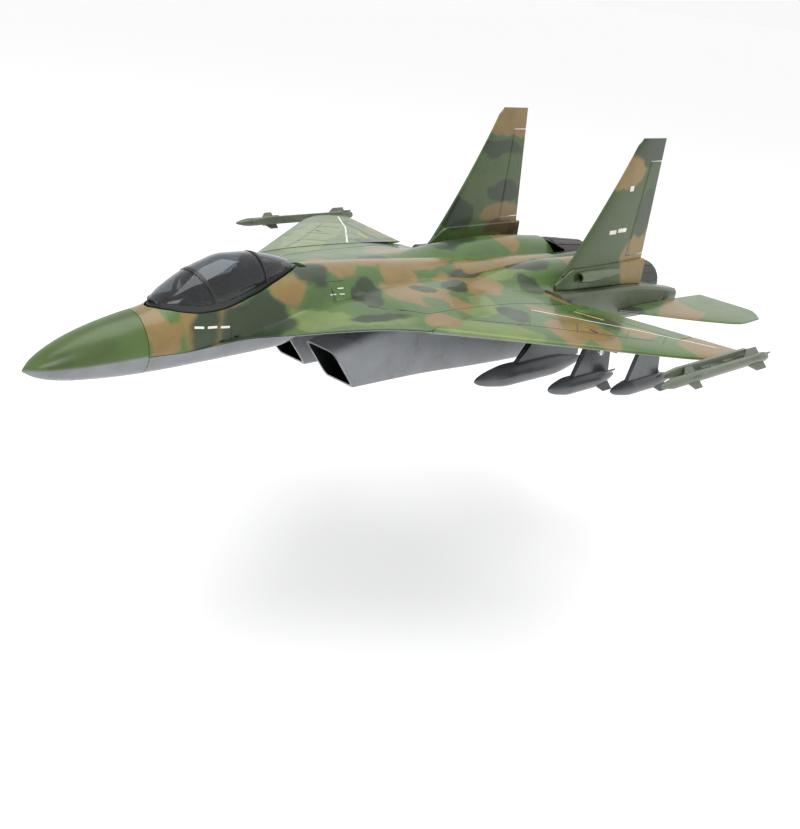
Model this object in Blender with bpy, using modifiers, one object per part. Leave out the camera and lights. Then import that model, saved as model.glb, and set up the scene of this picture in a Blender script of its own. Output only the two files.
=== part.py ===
"""A small radio-controlled twin-fan jet: foam shells, two ducted fans, a hinged canopy hatch and
servo-driven ailerons, rudders and stabilators. It rests on the flat bottoms of its two nacelles.

Sizes below are in millimetres. Along the length a place is a station: its distance behind the nose
tip on a body DRAWN_LENGTH long. x_at() turns a station into the frame's X, so LENGTH stretches the
body and its outlines but not the bought-in pieces. Y is to the model's left and Z is height above
the nacelle bottoms."""

import bmesh
import bpy
import numpy as np
from math import cos, pi, radians, sin, sqrt
from mathutils import Matrix, Vector

MM = 0.001  # one millimetre in the frame's metres

# ------------------------------------------------------------------ driving dimensions
LENGTH = 464.0  # nose tip to the end of the tail sting
DRAWN_LENGTH = 464.0  # length on which the stations below are drawn
WING_SPAN = 320.0  # across the wing tips, without rails and missiles
FIN_HEIGHT = 132.5  # fin tips above the nacelle bottoms
WALL = 1.4  # foam and plastic shells
GAP = 0.3  # between pieces that touch
RUN_GAP = 0.5  # round pieces that turn, and their openings
HATCH_GAP = 0.8  # round the canopy, which swings up out of its opening

NOSE_CONE_END = 53.0
HULL_END = 388.0
WING_ROOT_Y = 72.0
AFT_HULL_Y = 46.7  # half-width of the hull behind the wing
EDGE = 0.6  # half-thickness of the chine edge


def along_wing(share):
    """A place across the wing, as a share of the way from its root to its tip."""
    return WING_ROOT_Y + (WING_SPAN / 2 - WING_ROOT_Y) * share



WING_ROOT_LE, WING_ROOT_TE = 178.3, 299.7
WING_TIP_LE, WING_TIP_TE = 296.3, 329.9
WING_ROOT_Z, WING_TIP_Z = 43.3, 39.0
WING_ROOT_THICK, WING_TIP_THICK = 7.0, 2.6

SPAR_STATION, SPAR_Z, SPAR_R, SPAR_HALF = 262.0, 42.6, 1.25, along_wing(7 / 22)

AILERON_INNER_Y = 80.0
AILERON_TIP_MARGIN = 25.0  # wing left outboard of the aileron
AILERON_INNER_HINGE, AILERON_OUTER_HINGE = 287.5, 307.0
HORN_Y = along_wing(4 / 11)
HORN_LENGTH = 8.0
PUSHROD_LENGTH = 30.0
AILERON_SWING = 8.5  # depth left free behind a pylon's top
ARM_DROP = 1.3  # servo arm's axis below the aileron's
PUSHROD_R = 0.6
PLATE = 1.2  # horns and servo arms

NACELLE_MOUTH_TOP, NACELLE_MOUTH_BOTTOM = 152.0, 170.0
ENGINE_Y = 28.0
ENGINE_Z = 33.5
NOZZLE_END = 436.0
NOZZLE_R = 17.5
NOZZLE_WALL = 1.2

FAN_R = 12.6  # inside of the fan housing
FAN_STATION = 306.0  # plane of the fan blades
FAN_Z = 33.6 - FAN_R  # its axis, hung from the roof of the duct
MOTOR_R = 5.0
MOTOR_LENGTH = 15.0
FAN_BLADES = 8

BOOM_IN_Y, BOOM_OUT_Y = 47.0, 61.0
BOOM_START, BOOM_END = 300.2, 432.0

FIN_ROOT_LE, FIN_ROOT_TE = 302.0, 391.0
FIN_TIP_LE, FIN_TIP_TE = 360.5, 387.0
FIN_LE_FILLET = 3.6  # how far the leading edge bows back of a straight line
FIN_ROOT_Y, FIN_TIP_Y = 50.9, 54.0
FIN_ROOT_Z = 46.0
FIN_ROOT_THICK, FIN_TIP_THICK = 4.6, 2.0
LEDGE_Z = 57.5  # top of the thick fin root
RUDDER_LOW_Z = 61.0
RUDDER_TIP_MARGIN = 14.0
RUDDER_LOW_HINGE, RUDDER_HIGH_HINGE = 371.5, 376.0
TORQUE_ROD_R = 0.5
RUDDER_ROD_TOP = 72.0
SCOOP_FRONT, SCOOP_BACK = 320.0, 359.0

STAB_Z = 28.5
STAB_PIVOT = 412.0
STAB_ROOT_Y = 61.5
SPINDLE_R = 0.9
SPINDLE_TIP_Y = 82.0

STING_STATION, STING_Z, STING_R = 366.3, 43.0, 4.8

CANOPY_FRONT, CANOPY_BACK = 61.0, 148.0
HATCH_HINGE_STATION, HATCH_HINGE_Z = 150.0, 58.0
HINGE_PIN_R, KNUCKLE_R, KNUCKLE_HALF, HINGE_PIN_HALF = 0.7, 1.7, 4.0, 6.5

BATTERY = ((86.0, 138.0), 11.4 - WALL, (24.0 + WALL, 36.6))  # stations, half-width, heights
BOARD_FRONT, BOARD_BACK, BOARD_HALF, BOARD_Z = 162.0, 200.0, 13.0, 41.0

TANK_Y, TANK_Z, TANK_R = 67.0, 6.9, 6.2
BOMB_MID_Y, BOMB_MID_Z, BOMB_MID_R = along_wing(25 / 88), 8.2, 5.0
BOMB_OUTER_Y, BOMB_OUTER_Z, BOMB_OUTER_R = along_wing(25 / 44), 12.6, 4.4
PYLON_THICK = 2.4
RAIL_THICK = 1.9
MISSILE_R = 2.7
MISSILE_OFFSET = 7.2  # missile axis outboard of the wing tip
MISSILE_Z = 36.6
STORE_FIN_THICK = 0.8


# ------------------------------------------------------------------ curves and the hull's surfaces
def smooth_line(points):
    """A smooth function through the points that doesn't overshoot between them."""
    xs = np.array([p[0] for p in points], float)
    ys = np.array([p[1] for p in points], float)
    step = np.diff(xs)
    slope = np.diff(ys) / step
    tangent = np.zeros(len(xs))
    tangent[0], tangent[-1] = slope[0], slope[-1]
    for i in range(1, len(xs) - 1):
        if slope[i - 1] * slope[i] > 0:
            tangent[i] = 2 * slope[i - 1] * slope[i] / (slope[i - 1] + slope[i])

    def at(x):
        x = min(max(x, xs[0]), xs[-1])
        i = min(int(np.searchsorted(xs, x, side="right")) - 1, len(step) - 1)
        t = (x - xs[i]) / step[i]
        start = (1 + 2 * t) * (1 - t) ** 2 * ys[i] + t * (1 - t) ** 2 * step[i] * tangent[i]
        end = t * t * (3 - 2 * t) * ys[i + 1] + t * t * (t - 1) * step[i] * tangent[i + 1]
        return float(start + end)

    return at


def x_at(station):
    return (LENGTH / 2) - station * LENGTH / DRAWN_LENGTH


def mix(a, b, t):
    return a + (b - a) * t


def spread(start, end, count):
    return [mix(start, end, i / (count - 1)) for i in range(count)]


def ease(t):
    t = min(max(t, 0.0), 1.0)
    return t * t * (3 - 2 * t)


def blend_max(a, b, width):
    """The larger of two heights, with a fillet where they cross."""
    h = max(width - abs(a - b), 0.0) / width
    return max(a, b) + h * h * width / 4


def arch(offset, half_width):
    """Height of a unit half-ellipse at an offset from its middle, below zero outside it."""
    t = abs(offset) / half_width
    return sqrt(1 - t * t) if t < 1 else -(t - 1) * 4


body_top = smooth_line([(0, 27.5), (5, 31.6), (13, 36.2), (25, 41), (37, 44.4), (50, 47.2), (61, 49.2),
                        (73.5, 55.2), (83, 58.4), (97, 60.5), (113, 61.5), (148, 61.0), (186, 59.5),
                        (241, 55.5), (295, 51.5), (354, 48.5), (388, 47.6)])
body_bottom = smooth_line([(0, 26.4), (5, 23.4), (13, 21), (25, 19.4), (50, 18.1), (80, 18.6),
                           (110, 19), (136, 19.7), (146, 21.5), (156, 25.5), (170, 31), (190, 34.2)])
body_half = smooth_line([(0, 0.6), (5, 5), (13, 8.5), (25, 11.7), (50, 15), (61, 16), (80, 17),
                         (110, 18.2), (150, 19), (186, 17), (241, 14.5), (295, 12.5), (388, 10.5)])
chine_half = smooth_line([(0, 0.6), (5, 5), (13, 8.5), (25, 11.7), (50, 15), (68, 16.4), (90, 19),
                          (102, 22.4), (115, 30), (128, 38), (141, 46), (160, 57.5),
                          (WING_ROOT_LE, WING_ROOT_Y)])
part_z = smooth_line([(0, 27), (25, 28.8), (45, 30), (68, 30), (90, 32), (102, 34), (115, 36),
                      (128, 38), (141, 40), (160, 42), (175, 43), (262, 43), (300, 41.4), (388, 39)])
hump_top = smooth_line([(215, 40), (240, 47.5), (262, 51), (290, 54.2), (324, 55.8), (355, 54.8),
                        (388, 52.2)])
lerx_depth = smooth_line([(90, 0), (115, 1), (150, 3), (190, 7.5), (220, 8.0)])


def aerofoil(t):
    """Half-thickness along a chord, as a share of its greatest."""
    t = min(max(t, 0.0), 1.0)
    return (0.2969 * sqrt(t) - 0.126 * t - 0.3516 * t**2 + 0.2843 * t**3 - 0.1036 * t**4) / 0.1


def hull_half(station):
    return min(chine_half(station), WING_ROOT_Y)


def edge_half(station):
    """Half-thickness of the hull's outer edge, which meets the wing root behind its leading edge."""
    t = (station - WING_ROOT_LE) / (WING_ROOT_TE - WING_ROOT_LE)
    return EDGE + (WING_ROOT_THICK / 2 - EDGE) * aerofoil(t)


def hull_up(station, y):
    """Height of the hull's upper skin."""
    part = part_z(station)
    inward = (hull_half(station) - abs(y)) / 40
    plate = part + edge_half(station) + 3.0 * ease(inward)
    body = part + (body_top(station) - part) * arch(y, body_half(station))
    z = body if station < 90 else blend_max(body, plate, 9 * ease((station - 90) / 40) + 0.01)
    if station > 215:
        hump = ENGINE_Z + (hump_top(station) - ENGINE_Z) * arch(abs(y) - ENGINE_Y, NOZZLE_R)
        z = blend_max(z, hump, 5)
    return max(z, part + EDGE * 0.5)


def hull_low(station, y):
    """Height of the hull's lower skin."""
    part = part_z(station)
    inward = (hull_half(station) - abs(y)) / 38
    plate = part - edge_half(station) - lerx_depth(station) * ease(inward)
    half = body_half(station) * mix(1.0, 0.62, ease((station - 130) / 25))
    body = part - (part - body_bottom(station)) * arch(y, half)
    z = body if station < 90 else -blend_max(-body, -plate, 7 * ease((station - 90) / 40) + 0.01)
    return min(z, part - EDGE * 0.5)


sill_half = smooth_line([(CANOPY_FRONT, 0.8), (65.6, 6.2), (73.5, 11), (83.4, 13.2), (97, 14),
                         (113, 13), (128, 10), (139, 6.2), (CANOPY_BACK, 1.2)])
canopy_top = smooth_line([(CANOPY_FRONT, 49.8), (70.8, 56.8), (83, 64), (91.4, 67.4), (103, 70.4),
                          (115, 70.2), (126.5, 68.5), (143, 64.0), (CANOPY_BACK, 61.4)])


def sill_z(station):
    return hull_up(station, sill_half(station))


nacelle_middle = smooth_line([(152, 19.5), (215, 20.5), (262, 24), (300, 27), (324, ENGINE_Y)])
nacelle_half = smooth_line([(152, 11.5), (215, 12), (262, 14), (300, FAN_R + 2.8),
                            (324, FAN_R + 3.2)])
nacelle_bottom = smooth_line([(322, 0.0), (340, 2.2), (360, 7.5), (388, 16.5)])
nacelle_top = smooth_line([(152, 23), (170, 27), (190, 31), (215, 34.0), (262, 34.0), (300, 38),
                           (324, 44), (355, 49), (388, 50.4)])
nacelle_power = smooth_line([(152, 7), (262, 5), (320, 3.2), (388, 2.05)])

boom_top = smooth_line([(300, 45.0), (323, 44.6), (381, 42.4), (410, 38.6), (432, 34.6)])
boom_bottom = smooth_line([(300, 38), (320, 30), (350, 24), (400, 21.5), (432, 26)])


# ------------------------------------------------------------------ making objects
for old in list(bpy.data.objects):
    bpy.data.objects.remove(old)

PARTS = bpy.data.collections.new("rc_jet")
CUTTERS = bpy.data.collections.new("cutters")
for made in (PARTS, CUTTERS):
    bpy.context.scene.collection.children.link(made)


def srgb(code):
    """A linear colour from a hexadecimal one."""
    parts = [int(code[i:i + 2], 16) / 255 for i in (0, 2, 4)]
    return [c / 12.92 if c < 0.04045 else ((c + 0.055) / 1.055) ** 2.4 for c in parts] + [1.0]


def finish(obj, name, code, roughness=0.5, metallic=0.0):
    """Names a part, gives it its own material and moves it to the parts' collection."""
    obj.name = name
    material = bpy.data.materials.new(name)
    material.use_nodes = True
    shader = material.node_tree.nodes["Principled BSDF"]
    shader.inputs["Base Color"].default_value = srgb(code)
    shader.inputs["Roughness"].default_value = roughness
    shader.inputs["Metallic"].default_value = metallic
    obj.data.materials.clear()
    obj.data.materials.append(material)
    for home in list(obj.users_collection):
        home.objects.unlink(obj)
    PARTS.objects.link(obj)
    return obj


def as_cutter(obj):
    for home in list(obj.users_collection):
        home.objects.unlink(obj)
    CUTTERS.objects.link(obj)
    obj.hide_render = True
    obj.display_type = "WIRE"
    return obj


def combine(obj, tool, operation, solver):
    modifier = obj.modifiers.new(operation.lower(), "BOOLEAN")
    modifier.operation = operation
    modifier.solver = solver
    modifier.object = as_cutter(tool)


def cut(obj, *tools, solver="EXACT"):
    """Takes the tools out of a body. MANIFOLD is for the long skins, whose cuts EXACT drops."""
    for tool in tools:
        combine(obj, tool, "DIFFERENCE", solver)
    return obj


def join(obj, *tools, solver="EXACT"):
    for tool in tools:
        combine(obj, tool, "UNION", solver)
    return obj


def from_bmesh(mesh_data, name="shape"):
    """An object of a closed mesh, with its faces turned to point out."""
    bmesh.ops.recalc_face_normals(mesh_data, faces=mesh_data.faces)
    if mesh_data.calc_volume(signed=True) < 0:
        bmesh.ops.reverse_faces(mesh_data, faces=mesh_data.faces)
    mesh = bpy.data.meshes.new(name)
    mesh_data.to_mesh(mesh)
    mesh_data.free()
    obj = bpy.data.objects.new(name, mesh)
    PARTS.objects.link(obj)
    return obj


def loft(loops, ring=False):
    """A closed body through loops of as many points each, or a ring whose last loop meets its first."""
    shape = bmesh.new()
    rings = [[shape.verts.new(Vector(p) * MM) for p in loop] for loop in loops]
    count = len(rings[0])
    for one, two in zip(rings, rings[1:] + rings[:1] if ring else rings[1:]):
        for i in range(count):
            j = (i + 1) % count
            shape.faces.new((one[i], one[j], two[j], two[i]))
    if not ring:
        shape.faces.new(rings[0])
        shape.faces.new(list(reversed(rings[-1])))
    bmesh.ops.triangulate(shape, faces=[f for f in shape.faces if len(f.verts) > 4])
    return from_bmesh(shape)


def prism(outline, low, high):
    """A flat outline of (x, y) points, closed from one height to another."""
    return loft([[(x, y, z) for x, y in outline] for z in (low, high)])


def slab(xs, ys, zs):
    """A box from its (low, high) ends along each axis."""
    shape = bmesh.new()
    bmesh.ops.create_cube(shape, size=1.0)
    sizes = [b - a for a, b in (xs, ys, zs)]
    middle = [(a + b) / 2 for a, b in (xs, ys, zs)]
    bmesh.ops.scale(shape, vec=Vector(sizes) * MM, verts=shape.verts)
    bmesh.ops.translate(shape, vec=Vector(middle) * MM, verts=shape.verts)
    return from_bmesh(shape)


def rod(start, end, radius, segments=12, end_radius=None):
    """A round bar, or a cone, between two points."""
    start, end = Vector(start), Vector(end)
    shape = bmesh.new()
    bmesh.ops.create_cone(
        shape, cap_ends=True, segments=segments, radius1=radius * MM,
        radius2=(radius if end_radius is None else end_radius) * MM, depth=(end - start).length * MM)
    turn = Vector((0, 0, 1)).rotation_difference(end - start).to_matrix().to_4x4()
    bmesh.ops.transform(
        shape, matrix=Matrix.Translation((start + end) / 2 * MM) @ turn, verts=shape.verts)
    return from_bmesh(shape)


def turned(profile, y, z, segments=20):
    """A body of revolution along X from (station, radius) points, round the axis at y and z."""
    shape = bmesh.new()
    points = [shape.verts.new((x_at(s) * MM, 0, r * MM)) for s, r in profile]
    if profile[0][1] > 0 or profile[-1][1] > 0:
        points.append(points[0])
    for a, b in zip(points, points[1:]):
        shape.edges.new((a, b))
    bmesh.ops.spin(shape, geom=list(shape.verts) + list(shape.edges), axis=(1, 0, 0), cent=(0, 0, 0),
                   angle=2 * pi, steps=segments, use_merge=True)
    bmesh.ops.remove_doubles(shape, verts=shape.verts, dist=0.00001)
    bmesh.ops.translate(shape, vec=Vector((0, y, z)) * MM, verts=shape.verts)
    return from_bmesh(shape)


def wire(points, radius, resolution=2):
    """A bar of round section along a list of points, made from a curve."""
    curve = bpy.data.curves.new("wire", "CURVE")
    curve.dimensions = "3D"
    curve.bevel_depth = radius * MM
    curve.bevel_resolution = resolution
    curve.use_fill_caps = True
    spline = curve.splines.new("POLY")
    spline.points.add(len(points) - 1)
    for target, point in zip(spline.points, points):
        target.co = (*(Vector(point) * MM), 1)
    guide = bpy.data.objects.new("wire", curve)
    PARTS.objects.link(guide)
    seen = guide.evaluated_get(bpy.context.evaluated_depsgraph_get())
    shape = bmesh.new()
    shape.from_mesh(bpy.data.meshes.new_from_object(seen))
    bpy.data.objects.remove(guide)
    bmesh.ops.remove_doubles(shape, verts=shape.verts, dist=0.00001)
    return from_bmesh(shape)


def pivot(name, point):
    """An empty on a joint's axis, for the pieces that turn with it."""
    empty = bpy.data.objects.new(name, None)
    empty.empty_display_size = 0.01
    empty.location = Vector(point) * MM
    PARTS.objects.link(empty)
    return empty


def ride_on(empty, *pieces):
    for piece in pieces:
        piece.parent = empty
        piece.matrix_parent_inverse = Matrix.Translation(-empty.location)


def merged(*pieces):
    """Shapes that don't touch, as one object for a Boolean or for a group of like pieces."""
    shape = bmesh.new()
    for piece in pieces:
        shape.from_mesh(piece.data)
        bpy.data.objects.remove(piece)
    return from_bmesh(shape)


def mirrored(left):
    """The right-hand piece that mirrors a finished left-hand one, with its own mesh and material."""
    seen = left.evaluated_get(bpy.context.evaluated_depsgraph_get())
    shape = bmesh.new()
    shape.from_mesh(bpy.data.meshes.new_from_object(seen))
    bmesh.ops.scale(shape, vec=(1, -1, 1), verts=shape.verts)
    right = from_bmesh(shape)
    right.location = left.location * Vector((1, -1, 1))
    right.name = left.name.replace("left", "right")
    right.data.materials.clear()
    right.data.materials.append(left.data.materials[0].copy())
    right.data.materials[0].name = right.name
    return right


# ------------------------------------------------------------------ hull shells and nose
HULL_STATIONS = [NOSE_CONE_END + GAP, 62, 73, 85, 97, 110, 122, 135, 148, 160, 172, 186, 200, 215,
                 232, 250, 268, 285, 300, 316, 334, 352, 370, HULL_END]
ACROSS = 21  # points across a hull section
RIM = 5.0  # solid edge of the wide hull, outside its hollow


def across(half, station, count=ACROSS):
    """Offsets over a section's width: closer at the edges of the round nose, at the middle aft."""
    wide = ease((station - 90) / 60)
    return [half * mix(sin(u * pi / 2), 0.55 * u + 0.45 * u**3, wide) for u in spread(-1, 1, count)]


def slope_stretch(surface, station, y):
    """How much further a wall reaches along Z than along the skin's normal."""
    rise = (surface(station, y + 0.3) - surface(station, y - 0.3)) / 0.6
    return sqrt(1 + min(abs(rise), 3.0) ** 2)


def half_hull(surface, split, side, stations, inset=0.0):
    """The solid between a skin and the parting surface, or the hollow inside it when inset."""
    loops = []
    for station in stations:
        rim = mix(inset, RIM, ease((station - 90) / 50)) if inset else 0.0
        half = hull_half(station) - rim
        x = x_at(station)
        skin = [(x, y, surface(station, y) - side * inset * slope_stretch(surface, station, y))
                for y in across(half, station)]
        base = part_z(station) + split
        loops.append(skin + [(x, half, base), (x, 0, base), (x, -half, base)])
    return loft(loops)


def nacelle_loop(station, inset=0.0, count=16):
    """One ring of the nacelle: a rounded box at the mouth that becomes round at the nozzle."""
    bottom, top = nacelle_bottom(station) + inset, nacelle_top(station) - inset
    half = nacelle_half(station) - inset
    power = 2 / nacelle_power(station)
    flatten = mix(1.06, 1.0, ease((station - 300) / 60))
    slant = (NACELLE_MOUTH_BOTTOM - NACELLE_MOUTH_TOP) * ease((215 - station) / 63)
    points = []
    for i in range(count):
        c, s = cos(2 * pi * (i + 0.5) / count), sin(2 * pi * (i + 0.5) / count)
        y = nacelle_middle(station) + half * np.sign(c) * abs(c) ** power
        rise = (top - bottom) / 2 * np.sign(s) * abs(s) ** power
        z = max((top + bottom) / 2 + rise * (flatten if s < 0 else 1.0), bottom)
        points.append((x_at(station + slant * (1 - z / nacelle_top(station))), y, z))
    return points


NACELLE_STATIONS = [152, 166, 184, 215, 238, 262, 282, 300, 322, 342, 364, HULL_END - GAP]


def nacelle_room():
    """The space that the hull shells leave round a nacelle."""
    return loft([nacelle_loop(s, -GAP) for s in NACELLE_STATIONS[:-1] + [HULL_END + 2]])


def both_sides(make):
    """Copies of a cutter on the left and on the right."""
    left = make()
    shape = bmesh.new()
    shape.from_mesh(left.data)
    bmesh.ops.scale(shape, vec=(1, -1, 1), verts=shape.verts)
    return left, from_bmesh(shape)


def behind_wing(low, high, inner):
    """A block outboard of the aft hull."""
    xs = (x_at(HULL_END + 10), x_at(WING_ROOT_TE))
    return slab(xs, (inner, WING_ROOT_Y + 10), (low, high))


def spar_bore():
    reach = (WING_ROOT_Y + 40)
    x = x_at(SPAR_STATION)
    return rod((x, -reach, SPAR_Z), (x, reach, SPAR_Z), SPAR_R + GAP)


def hatch_outline(grow, front=CANOPY_FRONT, back=CANOPY_BACK):
    """The canopy's plan outline, grown or shrunk."""
    stations = [mix(front, back, (1 - cos(pi * i / 10)) / 2) for i in range(11)]
    ends = grow if grow > 0 else 0
    side = [(x_at(s + ends * (2 * (s - front) / (back - front) - 1)), sill_half(s) + grow)
            for s in stations]
    return side + [(x, -y) for x, y in reversed(side)]


def nose_cone():
    """Hollow radome, open at its joint with the hull."""
    def section(station, inset):
        half = body_half(station) - inset
        ys = [half * sin(u * pi / 2) for u in spread(-1, 1, 11)]
        x, share = x_at(station), body_half(station) / half
        up = [(x, y, hull_up(station, y * share * 0.999) - inset) for y in ys]
        down = [(x, y, hull_low(station, y * share * 0.999) + inset) for y in reversed(ys[1:-1])]
        return up + down
    outer = loft([section(s, 0) for s in (0, 2, 6, 13, 22, 33, 44, NOSE_CONE_END)])
    hollow = loft([section(s, WALL) for s in (6, 13, 22, 33, 44, NOSE_CONE_END + 1)])
    return finish(cut(outer, hollow), "nose_cone", "4f6a4c", 0.4)


def upper_shell():
    shell = half_hull(hull_up, GAP / 2, 1, HULL_STATIONS)
    inner = [HULL_STATIONS[0] - 1] + HULL_STATIONS[1:-1] + [HULL_END + 1]
    cut(shell, half_hull(hull_up, -6, 1, inner, WALL), solver="MANIFOLD")
    x, z = x_at(HATCH_HINGE_STATION), HATCH_HINGE_Z
    inside = KNUCKLE_HALF + 0.4
    lug = ((x - 2.6, x + 2.6), (inside - 0.6, HINGE_PIN_HALF + 1), (z - 3, z + 1.2))
    join(shell, *both_sides(lambda: slab(*lug)), solver="MANIFOLD")
    cut(shell, prism(hatch_outline(HATCH_GAP), part_z(CANOPY_FRONT) + 8, 90), solver="MANIFOLD")
    cut(shell, rod((x, -inside, z), (x, inside, z), KNUCKLE_R + RUN_GAP, 16), solver="MANIFOLD")
    tongue_room = (x - KNUCKLE_R - RUN_GAP, x_at(HATCH_HINGE_STATION - 4))
    cut(shell, slab(tongue_room, (-inside, inside), (z, z + 9)), solver="MANIFOLD")
    pin_end = HINGE_PIN_HALF + GAP
    cut(shell, rod((x, -pin_end, z), (x, pin_end, z), HINGE_PIN_R + GAP), solver="MANIFOLD")
    cut(shell, *both_sides(lambda: behind_wing(0, 90, AFT_HULL_Y)), solver="MANIFOLD")
    cut(shell, *both_sides(nacelle_room), solver="MANIFOLD")
    spigot = rod((x_at(STING_STATION - 18), 0, STING_Z), (x_at(HULL_END + 5), 0, STING_Z), 3 + GAP)
    half = STING_R + GAP
    saddle = slab((x_at(HULL_END + 5), x_at(STING_STATION) + GAP), (-half, half), (30, 90))
    cut(shell, spigot, saddle, spar_bore(), solver="MANIFOLD")
    return finish(shell, "fuselage_upper_shell", "55694a", 0.45)


def lower_shell():
    shell = half_hull(hull_low, -GAP / 2, -1, HULL_STATIONS)
    inner = [HULL_STATIONS[0] - 1] + HULL_STATIONS[1:-2]
    cut(shell, half_hull(hull_low, 6, -1, inner, WALL), solver="MANIFOLD")
    posts = []
    for station in (BOARD_FRONT + 3, BOARD_BACK - 3):
        for y in (-BOARD_HALF + 3, BOARD_HALF - 3):
            foot = hull_low(station, y) + WALL / 2
            posts.append(rod((x_at(station), y, foot), (x_at(station), y, BOARD_Z - GAP), 1.5))
    join(shell, merged(*posts), solver="MANIFOLD")
    cut(shell, *both_sides(lambda: behind_wing(0, 90, ENGINE_Y - 16)), solver="MANIFOLD")
    cut(shell, *both_sides(nacelle_room), solver="MANIFOLD")
    spigot = rod((x_at(STING_STATION - 18), 0, STING_Z), (x_at(HULL_END + 5), 0, STING_Z), 3 + GAP)
    sting_room = rod((x_at(STING_STATION) + GAP, 0, STING_Z), (x_at(HULL_END + 5), 0, STING_Z),
                     STING_R + GAP)
    cut(shell, spigot, sting_room, spar_bore(), solver="MANIFOLD")
    return finish(shell, "fuselage_lower_shell", "a4aaa8", 0.45)


def nacelle():
    outer = [nacelle_loop(s) for s in NACELLE_STATIONS]
    inner = [nacelle_loop(s, WALL) for s in reversed(NACELLE_STATIONS)]
    return finish(loft(outer + inner, ring=True), "nacelle_left", "9ea4a4", 0.4)


def nozzle():
    outer = [(HULL_END, NOZZLE_R), (403, 16.6), (418, 14.8), (NOZZLE_END, 12.8)]
    inner = [(s, r - NOZZLE_WALL) for s, r in reversed(outer)]
    return finish(turned(outer + inner, ENGINE_Y, ENGINE_Z, 24), "nozzle_left", "7d7f7e", 0.35, 0.8)


def tail_box(station, half_length, ys, zs):
    """(low, high) ends of a servo in the boom along each axis."""
    x = x_at(station)
    return (x - half_length, x + half_length), ys, zs


STAB_SERVO = tail_box(STAB_PIVOT, 6.0, (49.4, 56.0), (25.8, 33.2))
RUDDER_SERVO = tail_box(370.0, 6.0, (48.6, 55.0), (27.5, 36.5))


def boom():
    """Box beam beside the nozzle: it carries a fin and a stabilator and holds their servos."""
    loops = []
    for station in (BOOM_START, 312, 323, 350, 381, 400, 416, BOOM_END):
        x, low, high = x_at(station), boom_bottom(station), boom_top(station)
        taper = 2.5 * ease((station - 395) / 37)
        inner, outer = BOOM_IN_Y + taper * 0.6, BOOM_OUT_Y - taper
        round_off = 1.8
        loops.append([(x, inner, low + round_off), (x, inner + round_off, low),
                      (x, outer - round_off, low), (x, outer, low + round_off),
                      (x, outer, high - round_off), (x, outer - round_off, high),
                      (x, inner + round_off, high), (x, inner, high - round_off)])
    beam = loft(loops)
    for place in (STAB_SERVO, RUDDER_SERVO):
        xs, ys, zs = place
        room = slab((xs[0] - GAP, xs[1] + GAP), (BOOM_IN_Y - 2, ys[1] + GAP), (zs[0] - GAP, zs[1] + GAP))
        cut(beam, room)
    x = x_at(STAB_PIVOT)
    cut(beam, rod((x, STAB_SERVO[1][1] - 1, STAB_Z), (x, BOOM_OUT_Y + 2, STAB_Z), SPINDLE_R + RUN_GAP))
    low, high = rudder_axis(RUDDER_SERVO[2][1] - 1), rudder_axis(boom_top(RUDDER_LOW_HINGE) + 3)
    cut(beam, rod(low, high, TORQUE_ROD_R + RUN_GAP))
    return finish(beam, "boom_left", "8f9796", 0.4)


def tail_sting():
    x0 = x_at(STING_STATION)
    profile = [(STING_STATION, 0), (STING_STATION, STING_R), (STING_STATION + 70, STING_R),
               (DRAWN_LENGTH - 3, STING_R - 0.8), (DRAWN_LENGTH, STING_R - 2.4), (DRAWN_LENGTH, 0)]
    sting = turned(profile, 0, STING_Z, 16)
    join(sting, rod((x0 + 14, 0, STING_Z), (x0 - 2, 0, STING_Z), 3))
    return finish(sting, "tail_sting", "5e6d5c", 0.45)


# ------------------------------------------------------------------ flying surfaces
def foil(leading, trailing, thick, edge=0.3, count=9):
    """(station, offset) points round a section, from the trailing edge over the top and back."""
    shares = [(1 + cos(pi * i / (count - 1))) / 2 for i in range(count)]
    skin = [(mix(leading, trailing, t), edge + (thick / 2 - edge) * aerofoil(t)) for t in shares]
    return skin + [(s, -offset) for s, offset in reversed(skin)]


def wing_at(y):
    """Leading edge, trailing edge, height and thickness of the wing at a span position."""
    t = (y - WING_ROOT_Y) / (WING_SPAN / 2 - WING_ROOT_Y)
    return (mix(WING_ROOT_LE, WING_TIP_LE, t), mix(WING_ROOT_TE, WING_TIP_TE, t),
            mix(WING_ROOT_Z, WING_TIP_Z, t), mix(WING_ROOT_THICK, WING_TIP_THICK, t))


def wing_half(station, y):
    leading, trailing, _, thick = wing_at(y)
    return 0.3 + (thick / 2 - 0.3) * aerofoil((station - leading) / (trailing - leading))


def aileron_hinge(y):
    """A point of the aileron's hinge line."""
    outer = WING_SPAN / 2 - AILERON_TIP_MARGIN
    t = (y - AILERON_INNER_Y) / (outer - AILERON_INNER_Y)
    return Vector((x_at(mix(AILERON_INNER_HINGE, AILERON_OUTER_HINGE, t)), y, wing_at(y)[2]))


def aileron_station(y):
    return (LENGTH / 2 - aileron_hinge(y).x) * DRAWN_LENGTH / LENGTH


AILERON_SIDE_GAP = 0.8  # its ends swing sideways a little, because the hinge line is swept
AILERON_ENDS = (AILERON_INNER_Y, WING_SPAN / 2 - AILERON_TIP_MARGIN)
HINGE_ALONG = (aileron_hinge(AILERON_ENDS[1]) - aileron_hinge(AILERON_ENDS[0])).normalized()
HINGE_DOWN = (Vector((0, 0, -1)) + HINGE_ALONG * HINGE_ALONG.z).normalized()
HINGE_AHEAD = HINGE_ALONG.cross(-HINGE_DOWN).normalized()
HORN_ROOT = aileron_hinge(HORN_Y)
ARM_ROOT = HORN_ROOT + HINGE_AHEAD * PUSHROD_LENGTH + HINGE_DOWN * ARM_DROP
AILERON_SERVO = ((2.0, 9.0), (-6.0, 6.0), (-1.3, 4.2))  # along, ahead and down from the arm's root
ARM_ROOM = ((-1.3, 2.0), (-4.0, 4.0), (-2.0, 6.0))


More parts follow.
